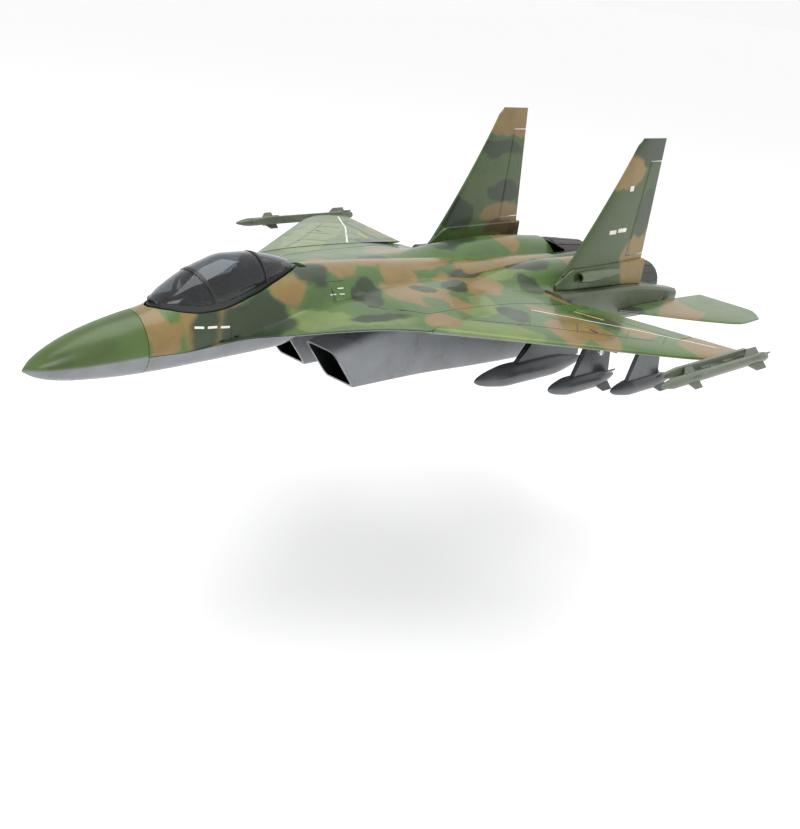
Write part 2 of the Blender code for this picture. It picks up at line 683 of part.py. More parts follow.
def wing():
    tip = WING_SPAN / 2
    loops = []
    for y in (WING_ROOT_Y + GAP, *[along_wing(t) for t in (3 / 22, 7 / 22, 23 / 44, 8 / 11)],
              tip - 8, tip - 2, tip):
        leading, trailing, z, thick = wing_at(y)
        pull = 3.0 * ease((y - tip + 8) / 8)
        loops.append([(x_at(s), y, z + dz) for s, dz in foil(leading + pull, trailing, thick)])
    body = loft(loops)
    inner, outer = AILERON_ENDS[0] - AILERON_SIDE_GAP, AILERON_ENDS[1] + AILERON_SIDE_GAP
    front = [(aileron_hinge(y).x + wing_half(aileron_station(y), y) + RUN_GAP, y)
             for y in (inner, outer)]
    cut(body, prism(front + [(x_at(360), outer), (x_at(360), inner)], 20, 60))
    cut(body, spar_bore())
    servo_room = [(low - GAP, high + GAP) for low, high in AILERON_SERVO]
    cut(body, hinge_block(*servo_room), hinge_block(*ARM_ROOM))
    return finish(body, "wing_left", "566a49", 0.45)


def hinge_block(along, ahead, down):
    """A box square to the hinge line, from its ranges round the servo arm's root."""
    corners = []
    for side in along:
        corners.append([ARM_ROOT + HINGE_ALONG * side + HINGE_AHEAD * a + HINGE_DOWN * d
                        for a, d in ((ahead[0], down[0]), (ahead[1], down[0]),
                                     (ahead[1], down[1]), (ahead[0], down[1]))])
    return loft(corners)


def plate(root, outline, offset=0.0):
    """A thin plate square to the hinge line: (ahead, down) points from its root."""
    sides = [offset - PLATE / 2, offset + PLATE / 2]
    return loft([[root + HINGE_ALONG * side + HINGE_AHEAD * a + HINGE_DOWN * d for a, d in outline]
                 for side in sides])


def cross_rod(root, ahead, down, low, high, radius):
    """A round bar along the hinge line's direction."""
    centre = root + HINGE_AHEAD * ahead + HINGE_DOWN * down
    return rod(centre + HINGE_ALONG * low, centre + HINGE_ALONG * high, radius)


def aileron():
    """The hinged part of the wing, round-nosed about its hinge line, with its horn below."""
    loops = []
    for y in spread(*AILERON_ENDS, 4):
        hinge = aileron_station(y)
        _, trailing, z, _ = wing_at(y)
        nose = wing_half(hinge, y)
        upper = [(mix(trailing, hinge, t), wing_half(mix(trailing, hinge, t), y))
                 for t in (0, 0.33, 0.67, 1.0)]
        front = [(hinge - nose * sin(a), nose * cos(a)) for a in (pi / 4, pi / 2, 3 * pi / 4)]
        around = upper + front + [(s, -dz) for s, dz in reversed(upper)]
        loops.append([(x_at(s), y, z + dz) for s, dz in around])
    body = loft(loops)
    horn = [(-0.2, 0), (-3.2, 0.7), (-1.4, HORN_LENGTH), (-0.8, HORN_LENGTH + 1.2),
            (0.8, HORN_LENGTH + 1.2), (1.3, HORN_LENGTH), (0.5, 0.7)]
    join(body, plate(HORN_ROOT, horn))
    cut(body, cross_rod(HORN_ROOT, 0, HORN_LENGTH, -3, 3, PUSHROD_R + GAP))
    return finish(body, "aileron_left", "566a49", 0.45)


def aileron_servo():
    body = hinge_block(*AILERON_SERVO)
    join(body, cross_rod(ARM_ROOT, 0, 0, PLATE / 2 + GAP, AILERON_SERVO[0][0] + 1, 1.1))
    return finish(body, "aileron_servo_left", "3a6ea8", 0.35)


def aileron_servo_arm():
    outline = [(-1.7, 0), (-1.2, -1.2), (0, -1.7), (1.2, -1.2), (1.7, 0), (1.3, HORN_LENGTH),
               (0.8, HORN_LENGTH + 1.2), (-0.8, HORN_LENGTH + 1.2), (-1.3, HORN_LENGTH)]
    arm = plate(ARM_ROOT, outline)
    cut(arm, cross_rod(ARM_ROOT, 0, HORN_LENGTH, -3, 3, PUSHROD_R + GAP))
    return finish(arm, "aileron_servo_arm_left", "e6e6e2", 0.4)


def aileron_pushrod():
    """Bent wire beside the arm and the horn, with its two ends turned in through their holes."""
    beside = -(PLATE / 2 + GAP + PUSHROD_R)
    front = ARM_ROOT + HINGE_DOWN * HORN_LENGTH
    back = HORN_ROOT + HINGE_DOWN * HORN_LENGTH
    through = PLATE / 2 + 0.5
    points = [front + HINGE_ALONG * through, front + HINGE_ALONG * beside,
              back + HINGE_ALONG * beside, back + HINGE_ALONG * through]
    return finish(wire(points, PUSHROD_R), "aileron_pushrod_left", "c4c6c8", 0.25, 1.0)


def wing_spar():
    x = x_at(SPAR_STATION)
    bar = rod((x, -SPAR_HALF, SPAR_Z), (x, SPAR_HALF, SPAR_Z), SPAR_R)
    return finish(bar, "wing_spar", "1c1d1f", 0.35)


def fin_at(z):
    """Leading edge, trailing edge, Y and thickness of a fin at a height."""
    t = (z - FIN_ROOT_Z) / (FIN_HEIGHT - FIN_ROOT_Z)
    fillet = FIN_LE_FILLET * (4 * max(t, 0) * (1 - t)) ** 0.7
    return (mix(FIN_ROOT_LE, FIN_TIP_LE, t) + fillet, mix(FIN_ROOT_TE, FIN_TIP_TE, t),
            mix(FIN_ROOT_Y, FIN_TIP_Y, t), mix(FIN_ROOT_THICK, FIN_TIP_THICK, t))


def fin_half(station, z):
    leading, trailing, _, thick = fin_at(z)
    return 0.3 + (thick / 2 - 0.3) * aerofoil((station - leading) / (trailing - leading))


def rudder_hinge(z):
    """Station of the rudder's hinge line at a height."""
    high = FIN_HEIGHT - RUDDER_TIP_MARGIN
    t = (z - RUDDER_LOW_Z) / (high - RUDDER_LOW_Z)
    return mix(RUDDER_LOW_HINGE, RUDDER_HIGH_HINGE, t)


def rudder_axis(z):
    return Vector((x_at(rudder_hinge(z)), fin_at(z)[2], z))


def fin():
    """One vertical tail: the blade, its thick root block and the cooling scoop outboard of it."""
    loops = []
    for z in (LEDGE_Z - 4, *spread(LEDGE_Z + 8, FIN_HEIGHT - 5, 5), FIN_HEIGHT):
        leading, trailing, y, thick = fin_at(z)
        leading += 2.5 * ease((z - FIN_HEIGHT + 5) / 5)
        loops.append([(x_at(s), y + dy, z) for s, dy in foil(leading, trailing, thick)])
    blade = loft(loops)
    block = []
    for station in (304, 312, 322, 340, 362, 378, 391):
        rise = ease((station - 300) / 18)
        low = boom_top(station) + GAP
        high = mix(low + 1.5, LEDGE_Z, rise)
        inner, outer = mix(50.6, 48.2, rise), mix(51.4, 54.6, rise)
        x = x_at(station)
        block.append([(x, inner, low), (x, outer, low), (x, outer, high - 1), (x, outer - 1, high),
                      (x, inner + 0.7, high), (x, inner, high - 0.7)])
    join(blade, loft(block), solver="MANIFOLD")
    scoop_y, scoop_z = 56.2, 52.4
    scoop = [(SCOOP_FRONT, 3.0), (SCOOP_FRONT + 8, 3.6), (SCOOP_FRONT + 30, 3.4), (SCOOP_BACK, 2.2)]
    scoop_body = turned([(SCOOP_FRONT, 0)] + scoop + [(SCOOP_BACK, 0)], scoop_y, scoop_z, 12)
    join(blade, scoop_body, solver="MANIFOLD")
    cut(blade, rod((x_at(SCOOP_FRONT - 3), scoop_y, scoop_z),
                   (x_at(SCOOP_FRONT + 20), scoop_y, scoop_z), 2.2), solver="MANIFOLD")
    low, high = RUDDER_LOW_Z - RUN_GAP, FIN_HEIGHT - RUDDER_TIP_MARGIN + RUN_GAP
    opening = []
    for z in (low, high):
        front = x_at(rudder_hinge(z)) + fin_half(rudder_hinge(z), z) + RUN_GAP
        opening.append([(front, 40, z), (front, 70, z), (x_at(402), 70, z), (x_at(402), 40, z)])
    cut(blade, loft(opening), solver="MANIFOLD")
    rod_bore = rod(rudder_axis(40), rudder_axis(RUDDER_LOW_Z + 2), TORQUE_ROD_R + RUN_GAP)
    cut(blade, rod_bore, solver="MANIFOLD")
    return finish(blade, "fin_left", "44583e", 0.45)


def rudder():
    loops = []
    for z in spread(RUDDER_LOW_Z, FIN_HEIGHT - RUDDER_TIP_MARGIN, 4):
        hinge = rudder_hinge(z)
        _, trailing, y, _ = fin_at(z)
        nose = fin_half(hinge, z)
        upper = [(mix(trailing, hinge, t), fin_half(mix(trailing, hinge, t), z))
                 for t in (0, 0.33, 0.67, 1.0)]
        front = [(hinge - nose * sin(a), nose * cos(a)) for a in (pi / 4, pi / 2, 3 * pi / 4)]
        around = upper + front + [(s, -dy) for s, dy in reversed(upper)]
        loops.append([(x_at(s), y + dy, z) for s, dy in around])
    body = loft(loops)
    cut(body, rod(rudder_axis(RUDDER_LOW_Z - 3), rudder_axis(RUDDER_ROD_TOP + GAP), TORQUE_ROD_R + GAP))
    return finish(body, "rudder_left", "4a5d41", 0.45)


def rudder_torque_rod():
    low, high = rudder_axis(RUDDER_SERVO[2][1] + GAP), rudder_axis(RUDDER_ROD_TOP)
    return finish(rod(low, high, TORQUE_ROD_R), "rudder_torque_rod_left", "b8babd", 0.25, 1.0)


def stab_edges(y):
    """Leading and trailing edge of the stabilator at a span position."""
    lead = smooth_line([(STAB_ROOT_Y, 362), (110, 415), (113, 421)])
    trail = smooth_line([(STAB_ROOT_Y, 459), (97, 460), (112, 447), (113, 445)])
    return lead(y), trail(y)


def stabilator():
    loops = []
    for y in (STAB_ROOT_Y, 75, 88, 97, 105, 110, 113):
        leading, trailing = stab_edges(y)
        thick = mix(3.6, 1.5, (y - STAB_ROOT_Y) / 51.5)
        loops.append([(x_at(s), y, STAB_Z + dz) for s, dz in foil(leading, trailing, thick)])
    body = loft(loops)
    x = x_at(STAB_PIVOT)
    cut(body, rod((x, STAB_ROOT_Y - 2, STAB_Z), (x, SPINDLE_TIP_Y + GAP, STAB_Z), SPINDLE_R + GAP))
    return finish(body, "stabilator_left", "55684a", 0.45)


def stab_spindle():
    x = x_at(STAB_PIVOT)
    bar = rod((x, STAB_SERVO[1][1] + GAP, STAB_Z), (x, SPINDLE_TIP_Y, STAB_Z), SPINDLE_R)
    return finish(bar, "stab_spindle_left", "b8babd", 0.25, 1.0)


def tail_servo(name, place):
    """A small servo in its pocket, given by its low and high ends along each axis."""
    xs, ys, zs = place
    case = slab(xs, (ys[0], ys[1]), zs)
    seam = (zs[0] + zs[1]) / 2
    groove = slab((xs[0] - 1, xs[0] + 0.4), (ys[0] - 1, ys[1] + 1), (seam - 0.3, seam + 0.3))
    return finish(cut(case, groove), name, "3a6ea8", 0.35)


# ------------------------------------------------------------------ fans
def fan_axis():
    return nacelle_middle(FAN_STATION), FAN_Z


def fan_blade(angle):
    """One twisted blade, from inside the hub to a working gap from the housing."""
    y0, z0 = fan_axis()
    loops = []
    for radius, pitch, chord in ((4.6, 34, 7.0), (8.5, 50, 6.4), (FAN_R - RUN_GAP, 60, 5.6)):
        out = Vector((0, cos(angle), sin(angle)))
        round_way = Vector((0, -sin(angle), cos(angle)))
        along = Vector((1, 0, 0)) * cos(radians(pitch)) + round_way * sin(radians(pitch))
        across_way = along.cross(out)
        centre = Vector((x_at(FAN_STATION), y0, z0)) + out * radius
        loops.append([centre + along * a * chord / 2 + across_way * b * 0.4
                      for a, b in ((-1, -1), (1, -1), (1, 1), (-1, 1))])
    return loft(loops)


def fan_rotor():
    y, z = fan_axis()
    hub = [(FAN_STATION - 10, 0), (FAN_STATION - 8.5, 2.6), (FAN_STATION - 4, 5.2),
           (FAN_STATION + 3.6, 5.8), (FAN_STATION + 3.6, 0)]
    rotor = turned(hub, y, z, 12)
    join(rotor, merged(*[fan_blade(2 * pi * i / FAN_BLADES) for i in range(FAN_BLADES)]))
    x = x_at(FAN_STATION)
    cut(rotor, rod((x - 10, y, z), (x + 3, y, z), 0.8 + GAP))
    return finish(rotor, "fan_rotor_left", "22242a", 0.4)


def fan_housing():
    """Ring round the rotor, a bulkhead that fills the duct round it, and vanes to the motor mount."""
    y, z = fan_axis()
    wall, back = 0.8, FAN_STATION + 22
    ring = [(FAN_STATION - 7, FAN_R), (FAN_STATION - 7, FAN_R + wall), (back, FAN_R + wall),
            (back, FAN_R)]
    housing = turned(ring, y, z, 18)
    bulkhead = loft([nacelle_loop(s, WALL + GAP) for s in (FAN_STATION - 1, FAN_STATION + 1.5)])
    x = x_at(FAN_STATION)
    cut(bulkhead, rod((x - 20, y, z), (x + 20, y, z), FAN_R + wall / 2, 18))
    join(housing, bulkhead)
    mount = [(FAN_STATION + 8, MOTOR_R + GAP), (FAN_STATION + 8, MOTOR_R + 1.2),
             (FAN_STATION + 14, MOTOR_R + 1.2), (FAN_STATION + 14, MOTOR_R + GAP)]
    collar = turned(mount, y, z, 12)
    vanes = []
    for i in range(4):
        out = Vector((0, cos(pi / 4 + i * pi / 2), sin(pi / 4 + i * pi / 2)))
        side = Vector((0, -out.z, out.y)) * 0.5
        low, high = out * (MOTOR_R + 0.8), out * (FAN_R + wall / 2)
        ends = []
        for station in (FAN_STATION + 8.5, FAN_STATION + 13.5):
            centre = Vector((x_at(station), y, z))
            ends.append([centre + low - side, centre + high - side, centre + high + side,
                         centre + low + side])
        vanes.append(loft(ends))
    join(housing, collar, merged(*vanes))
    return finish(housing, "fan_housing_left", "2b2d31", 0.4)


def fan_motor():
    y, z = fan_axis()
    x = x_at(FAN_STATION)
    case = rod((x - 5, y, z), (x - 5 - MOTOR_LENGTH, y, z), MOTOR_R, 14)
    join(case, rod((x + 2, y, z), (x - 6, y, z), 0.8))
    return finish(case, "fan_motor_left", "b9a24a", 0.3, 1.0)


# ------------------------------------------------------------------ canopy hatch
FRAME_WIDTH, FRAME_DEPTH, FRAME_RISE = 2.6, 2.2, 0.2
GLASS_WALL = 0.9
HATCH_STATIONS = [61.6, 64, 68, 74, 81, 90, 100, 112, 124, 134, 142, 147.2]


def frame_opening(grow=0.0):
    return hatch_outline(grow - FRAME_WIDTH, CANOPY_FRONT + 7, CANOPY_BACK - 8)


def canopy_loop(station, inset, foot):
    """An arch of the canopy's section, from one foot over the top to the other."""
    half = sill_half(station) - inset
    base = sill_z(station) + foot
    rise = max(canopy_top(station) - inset - base, 0.4)
    return [(x_at(station), half * cos(a), base + rise * sin(a) ** 0.9)
            for a in spread(pi, 0, 11)]


def canopy_glass():
    loops = []
    for station in HATCH_STATIONS[1:-1]:
        outer = canopy_loop(station, 0.1, FRAME_RISE + GAP)
        inner = canopy_loop(station, min(GLASS_WALL, sill_half(station) * 0.4), FRAME_RISE + GAP)
        loops.append(outer + inner[::-1])
    return finish(loft(loops), "canopy_glass", "15181b", 0.06)


def canopy_frame():
    """Sill ring with two bows inside the glass and the hinge knuckle behind."""
    plate_loops = []
    for station in HATCH_STATIONS:
        x, half, z = x_at(station), sill_half(station), sill_z(station)
        plate_loops.append([(x, -half, z - FRAME_DEPTH), (x, half, z - FRAME_DEPTH),
                            (x, half, z + FRAME_RISE), (x, -half, z + FRAME_RISE)])
    frame = loft(plate_loops)
    cut(frame, prism(frame_opening(), 40, 80), solver="MANIFOLD")
    for station in (83.0, 120.0):
        arches = []
        for s in (station - 1.1, station + 1.1):
            outer = canopy_loop(s, GLASS_WALL + GAP + 0.1, -0.6)
            inner = canopy_loop(s, GLASS_WALL + GAP + 1.2, -0.6)
            arches.append(outer + inner[::-1])
        join(frame, loft(arches), solver="MANIFOLD")
    x, z = x_at(HATCH_HINGE_STATION), HATCH_HINGE_Z
    knuckle = rod((x, -KNUCKLE_HALF, z), (x, KNUCKLE_HALF, z), KNUCKLE_R, 16)
    tongue = slab((x, x_at(143)), (-KNUCKLE_HALF + 0.5, KNUCKLE_HALF - 0.5), (z - 0.2, z + 1.5))
    join(frame, knuckle, tongue, solver="MANIFOLD")
    cut(frame, rod((x, -10, z), (x, 10, z), HINGE_PIN_R + GAP), solver="MANIFOLD")
    return finish(frame, "canopy_frame", "3c4436", 0.45)


def cockpit_tub():
    """Open tray below the frame, with an instrument coaming across its front."""
    floor = 44.0

    def tray(inset, low, lift, stations):
        loops = []
        for s in stations:
            x, half, high = x_at(s), sill_half(s) - 2.2 - inset, sill_z(s) - FRAME_DEPTH - GAP + lift
            loops.append([(x, -half, low), (x, half, low), (x, half, high), (x, -half, high)])
        return loft(loops)

    tub = tray(0, floor - 1.2, 0, (74, 81, 90, 100, 112, 124, 134))
    cut(tub, tray(1.2, floor, 5, (75.5, 81, 90, 100, 112, 124, 132.5)))
    half = sill_half(78) - FRAME_WIDTH - 1
    coaming = slab((x_at(83.5), x_at(78.5)), (-half, half), (floor - 0.5, 51.5))
    return finish(join(tub, coaming), "cockpit_tub", "2a2d2e", 0.6)


def pilot_seat():
    x, floor = x_at(104), 44.0 + GAP
    seat = slab((x - 6, x + 6), (-4.5, 4.5), (floor, floor + 3.5))
    rest = loft([[(x - 7.5 - 3.5 * t, y, floor + 17 * t) for y in (-4.5, 4.5)] +
                 [(x - 4.5 - 3.5 * t, y, floor + 17 * t) for y in (4.5, -4.5)] for t in (0, 1)])
    return finish(join(seat, rest), "pilot_seat", "4a4238", 0.7)


def canopy_hinge_pin():
    x, z = x_at(HATCH_HINGE_STATION), HATCH_HINGE_Z
    pin = rod((x, -HINGE_PIN_HALF, z), (x, HINGE_PIN_HALF, z), HINGE_PIN_R)
    return finish(pin, "canopy_hinge_pin", "b8babd", 0.25, 1.0)


# ------------------------------------------------------------------ equipment inside
def battery():
    (front, back), half, (low, high) = BATTERY
    x = (x_at(front) + x_at(back)) / 2
    reach = (back - front) / 2
    pack = slab((x - reach, x + reach), (-half, half), (low, high))
    bevel = pack.modifiers.new("round", "BEVEL")
    bevel.width = 1.5 * MM
    bevel.segments = 2
    return finish(pack, "battery", "2f4f8a", 0.35)


def control_board():
    """Receiver and speed-control board with its chips and a plug block."""
    x0, x1 = x_at(BOARD_BACK), x_at(BOARD_FRONT)
    board = slab((x0, x1), (-BOARD_HALF, BOARD_HALF), (BOARD_Z, BOARD_Z + 1.2))
    middle = (x0 + x1) / 2
    chips = [((middle - 4, middle + 4), (-4, 4)), ((middle + 8, middle + 12), (-9, -4)),
             ((middle + 8, middle + 12), (3, 9)), ((x0 + 2, x0 + 6), (-10, 10))]
    tall = [slab(xs, ys, (BOARD_Z + 0.6, BOARD_Z + 2.6)) for xs, ys in chips]
    return finish(join(board, merged(*tall)), "control_board", "1f5c3a", 0.5)


# ------------------------------------------------------------------ stores under the wings
def store_fins(station, length, y, z, inner, span):
    """Four fins at forty-five degrees round a store's tail."""
    fins = []
    for i in range(4):
        angle = pi / 4 + i * pi / 2
        out = Vector((0, cos(angle), sin(angle)))
        side = Vector((0, -out.z, out.y)) * STORE_FIN_THICK / 2
        outline = [(station, inner), (station + length * 0.45, span), (station + length, span),
                   (station + length, inner)]
        ends = [[Vector((x_at(s), y, z)) + out * r + side * k for s, r in outline] for k in (-1, 1)]
        fins.append(loft(ends))
    return fins


def pylon(y, foot_z, front, lean, back, underside, top_back=None):
    """A thin strut from inside a store up to just under the skin above it. A top_back ahead of its
    back edge slopes the strut clear of the aileron that swings down behind it."""
    top_end = back if top_back is None else top_back
    top = [mix(front + lean, top_end, t) for t in (0, 0.25, 0.5, 0.75, 1)]
    outline = [(back + 3, foot_z), (front, foot_z), (front + lean * 0.45, foot_z + 11)]
    outline += [(s, underside(s) - GAP) for s in top]
    if top_back is not None:
        outline.append((back, underside(top_end) - AILERON_SWING))
    return loft([[(x_at(s), y + k * PYLON_THICK / 2, z) for s, z in outline] for k in (-1, 1)])


def store(name, y, z, radius, ends, pylon_foot, lean, underside, fin_station=None, top_back=None):
    """A turned store with its pylon and, on a bomb, four fins behind its middle."""
    front, back = ends
    length = back - front
    profile = [(front, 0), (front + length * 0.04, radius * 0.35),
               (front + length * 0.14, radius * 0.72),
               (front + length * 0.3, radius), (back - length * 0.32, radius),
               (back - length * 0.1, radius * 0.6), (back, radius * 0.25), (back, 0)]
    body = turned(profile, y, z, 14)
    strut = pylon(y, z + radius * 0.5, pylon_foot[0], lean, pylon_foot[1], underside, top_back)
    join(body, strut, solver="MANIFOLD")
    if fin_station:
        fins = store_fins(fin_station, 14, y, z, radius * 0.5, radius * 1.7)
        join(body, merged(*fins), solver="MANIFOLD")
    return finish(body, name, "9b9fa1", 0.35, 0.7)


def wing_underside(y):
    return lambda station: wing_at(y)[2] - wing_half(station, y)


def ahead_of_aileron(y):
    """The last station under the wing that the aileron's rounded nose leaves free."""
    hinge = aileron_station(y - PYLON_THICK / 2)
    return hinge - wing_half(hinge, y) - RUN_GAP - 1.0


def drop_tank():
    def underside(station):
        return min(hull_low(min(station, 298), TANK_Y + k * PYLON_THICK / 2) for k in (-1, 1)) - GAP
    return store("drop_tank_left", TANK_Y, TANK_Z, TANK_R, (223, 318), (254, 312), 27, underside)


def bomb_mid():
    return store("bomb_mid_left", BOMB_MID_Y, BOMB_MID_Z, BOMB_MID_R, (249, 309), (268, 300), 14,
                 wing_underside(BOMB_MID_Y), 288, ahead_of_aileron(BOMB_MID_Y))


def bomb_outer():
    return store("bomb_outer_left", BOMB_OUTER_Y, BOMB_OUTER_Z, BOMB_OUTER_R, (270, 329), (283, 311),
                 10, wing_underside(BOMB_OUTER_Y), 307, ahead_of_aileron(BOMB_OUTER_Y))


def tip_rail():
    tip = WING_SPAN / 2
    low, high = tip + GAP, tip + GAP + RAIL_THICK
    outline = [(250, 37.6), (258, 36.0), (330, 36.0), (338, 37.6), (338, 39.6), (330, 41.0),
               (262, 41.0), (250, 39.6)]
    rail = loft([[(x_at(s), y, z) for s, z in outline] for y in (low, high)])
    lug_top = tip + MISSILE_OFFSET - MISSILE_R - GAP
    lugs = [slab((x_at(s + 8), x_at(s)), (high - 0.6, lug_top), (36.4, 38.4)) for s in (284, 306)]
    return finish(join(rail, merged(*lugs)), "tip_rail_left", "8d9294", 0.4)


def tip_missile():
    y, z = WING_SPAN / 2 + MISSILE_OFFSET, MISSILE_Z
    profile = [(240, 0), (243, 1.4), (250, MISSILE_R), (342, MISSILE_R), (345, 2.1), (345, 0)]
    body = turned(profile, y, z, 14)
    join(body, merged(*store_fins(262, 11, y, z, 1.5, 6.2)))
    join(body, merged(*store_fins(322, 18, y, z, 1.5, 6.4)))
    return finish(body, "tip_missile_left", "b9bcbd", 0.35)


# ------------------------------------------------------------------ the whole model
nose_cone()
upper_shell()
lower_shell()
tail_sting()
wing_spar()
battery()
control_board()
canopy_hinge_pin()

hatch = pivot("canopy_pivot", (x_at(HATCH_HINGE_STATION), 0, HATCH_HINGE_Z))
ride_on(hatch, canopy_glass(), canopy_frame(), cockpit_tub(), pilot_seat())

FIXED_PAIRS = [nacelle, nozzle, boom, wing, fin, aileron_servo, fan_housing, fan_motor,
               drop_tank, bomb_mid, bomb_outer, tip_rail, tip_missile]
for make in FIXED_PAIRS:
    mirrored(make())
for label, place in (("stab_servo_left", STAB_SERVO), ("rudder_servo_left", RUDDER_SERVO)):
    mirrored(tail_servo(label, place))


def moving_pair(make, origin):
    """A left and a right piece, each with its own empty on its joint's axis."""
    left = make()
    right = mirrored(left)
    for piece, side in ((left, 1), (right, -1)):
        point = Vector(origin) * Vector((1, side, 1))
        ride_on(pivot(piece.name + "_pivot", point), piece)


stab_axis = (x_at(STAB_PIVOT), STAB_ROOT_Y, STAB_Z)
moving_pair(aileron, HORN_ROOT)
moving_pair(aileron_servo_arm, ARM_ROOT)
moving_pair(aileron_pushrod, ARM_ROOT + HINGE_DOWN * HORN_LENGTH)
moving_pair(rudder, rudder_axis(RUDDER_LOW_Z))
moving_pair(rudder_torque_rod, rudder_axis(RUDDER_LOW_Z))
moving_pair(stabilator, stab_axis)
moving_pair(stab_spindle, stab_axis)
moving_pair(fan_rotor, (x_at(FAN_STATION), *fan_axis()))
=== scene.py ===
import bmesh
import bpy
import numpy as np
from math import cos, pi, radians, sin, sqrt
from mathutils import Matrix, Vector


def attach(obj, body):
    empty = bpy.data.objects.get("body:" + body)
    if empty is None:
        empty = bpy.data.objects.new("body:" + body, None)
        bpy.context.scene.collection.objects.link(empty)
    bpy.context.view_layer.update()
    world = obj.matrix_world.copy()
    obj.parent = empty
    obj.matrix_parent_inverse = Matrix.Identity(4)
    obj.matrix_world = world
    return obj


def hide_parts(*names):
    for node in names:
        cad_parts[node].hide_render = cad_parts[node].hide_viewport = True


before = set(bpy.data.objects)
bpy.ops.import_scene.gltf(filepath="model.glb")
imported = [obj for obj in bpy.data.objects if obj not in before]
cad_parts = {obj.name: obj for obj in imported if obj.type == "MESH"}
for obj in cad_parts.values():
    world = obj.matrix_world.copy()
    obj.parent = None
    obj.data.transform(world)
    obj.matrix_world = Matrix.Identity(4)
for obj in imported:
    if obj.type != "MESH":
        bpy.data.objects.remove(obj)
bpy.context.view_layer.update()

# ---------------------------------------------------------------- camera, floor and light
# A plain pale table top well below the model, which hangs in soft light from above, and the
# camera ahead of its left wing, a little above it and turned slightly about its own view.
CAMERA_AT = Vector((0.4489, 0.41445, 0.2032))
CAMERA_TURN, CAMERA_RISE, CAMERA_ROLL = radians(42.055), radians(21.485), radians(7.73)
CAMERA_LENS, CAMERA_FILM = 48.06, 36.0
FLOOR_Z = -0.15


def linear(code):
    """A linear colour from an sRGB hexadecimal one."""
    parts = [int(code[i:i + 2], 16) / 255 for i in (0, 2, 4)]
    return [c / 12.92 if c < 0.04045 else ((c + 0.055) / 1.055) ** 2.4 for c in parts] + [1.0]


def new_material(name, code, roughness, metallic=0.0, **values):
    """A material whose Principled shader has these plain values."""
    material = bpy.data.materials.new(name)
    material.use_nodes = True
    shader = material.node_tree.nodes["Principled BSDF"]
    shader.inputs["Base Color"].default_value = linear(code)
    shader.inputs["Roughness"].default_value = roughness
    shader.inputs["Metallic"].default_value = metallic
    for label, value in values.items():
        shader.inputs[label.replace("_", " ").title().replace("Ior", "IOR")].default_value = value
    return material


view_back = Vector((cos(CAMERA_RISE) * cos(CAMERA_TURN), cos(CAMERA_RISE) * sin(CAMERA_TURN),
                    sin(CAMERA_RISE)))
level = Vector((0, 0, 1)).cross(view_back).normalized()
upright = view_back.cross(level)
view_right = level * cos(CAMERA_ROLL) + upright * sin(CAMERA_ROLL)
view_up = upright * cos(CAMERA_ROLL) - level * sin(CAMERA_ROLL)
camera = bpy.data.objects.new("camera", bpy.data.cameras.new("camera"))
bpy.context.scene.collection.objects.link(camera)
camera.data.lens, camera.data.sensor_width = CAMERA_LENS, CAMERA_FILM
turn = Matrix((view_right, view_up, view_back)).transposed().to_4x4()
camera.matrix_world = Matrix.Translation(CAMERA_AT) @ turn
bpy.context.scene.camera = camera

bpy.ops.object.select_all(action="DESELECT")
bpy.ops.mesh.primitive_plane_add(size=400, location=(0, 0, FLOOR_Z))
floor = bpy.context.object
floor.name = "floor"
floor.data.materials.append(new_material("white laminate table top", "FAFAFA", 0.75,
                                         emission_strength=0.05))


def area_light(name, place, aim, size, power):
    lamp = bpy.data.lights.new(name, "AREA")
    lamp.size, lamp.energy = size, power
    obj = bpy.data.objects.new(name, lamp)
    bpy.context.scene.collection.objects.link(obj)
    obj.location = place
    obj.rotation_euler = (Vector(aim) - Vector(place)).to_track_quat("-Z", "Y").to_euler()


area_light("overhead softbox", (-0.1, 0.1, 1.5), (0, 0, 0), 1.2, 11)
area_light("side softbox", (0.9, 1.3, 0.9), (0, 0, 0), 0.8, 7)
world = bpy.data.worlds.new("studio")
world.use_nodes = True
world.node_tree.nodes["Background"].inputs["Color"].default_value = (1, 1, 1, 1)
world.node_tree.nodes["Background"].inputs["Strength"].default_value = 0.95
bpy.context.scene.world = world
bpy.context.scene.view_settings.view_transform = "Standard"

# ---------------------------------------------------------------- hull shells
# Two foam half-shells that part along the chine: camouflaged above, grey below. The hatch, the
# nacelles and the tail sting each sit in an opening of their own.
# A station is a distance behind the nose tip. Shapes are in millimetres until their mesh is made.
MM = 0.001
LENGTH = 464.0  # nose tip to the end of the tail sting
DRAWN_LENGTH = 464.0  # length on which the stations below are drawn
WALL = 1.4  # foam and plastic shells
GAP = 0.3  # between pieces that touch
RUN_GAP = 0.5  # round pieces that turn, and their openings
HATCH_GAP = 0.8  # round the canopy, which swings up out of its opening
NOSE_CONE_END = 53.0
HULL_END = 388.0
WING_ROOT_Y = 72.0
AFT_HULL_Y = 46.7  # half-width of the hull behind the wing
EDGE = 0.6  # half-thickness of the chine edge
WING_ROOT_LE, WING_ROOT_TE = 178.3, 299.7
WING_ROOT_THICK, WING_TIP_THICK = 7.0, 2.6
SPAR_STATION, SPAR_Z, SPAR_R = 262.0, 42.6, 1.25
NACELLE_MOUTH_TOP, NACELLE_MOUTH_BOTTOM = 152.0, 170.0
ENGINE_Y = 28.0
ENGINE_Z = 33.5
NOZZLE_R = 17.5
STING_STATION, STING_Z, STING_R = 366.3, 43.0, 4.8
CANOPY_FRONT, CANOPY_BACK = 61.0, 148.0
HATCH_HINGE_STATION, HATCH_HINGE_Z = 150.0, 58.0
HINGE_PIN_R, KNUCKLE_R, KNUCKLE_HALF, HINGE_PIN_HALF = 0.7, 1.7, 4.0, 6.5
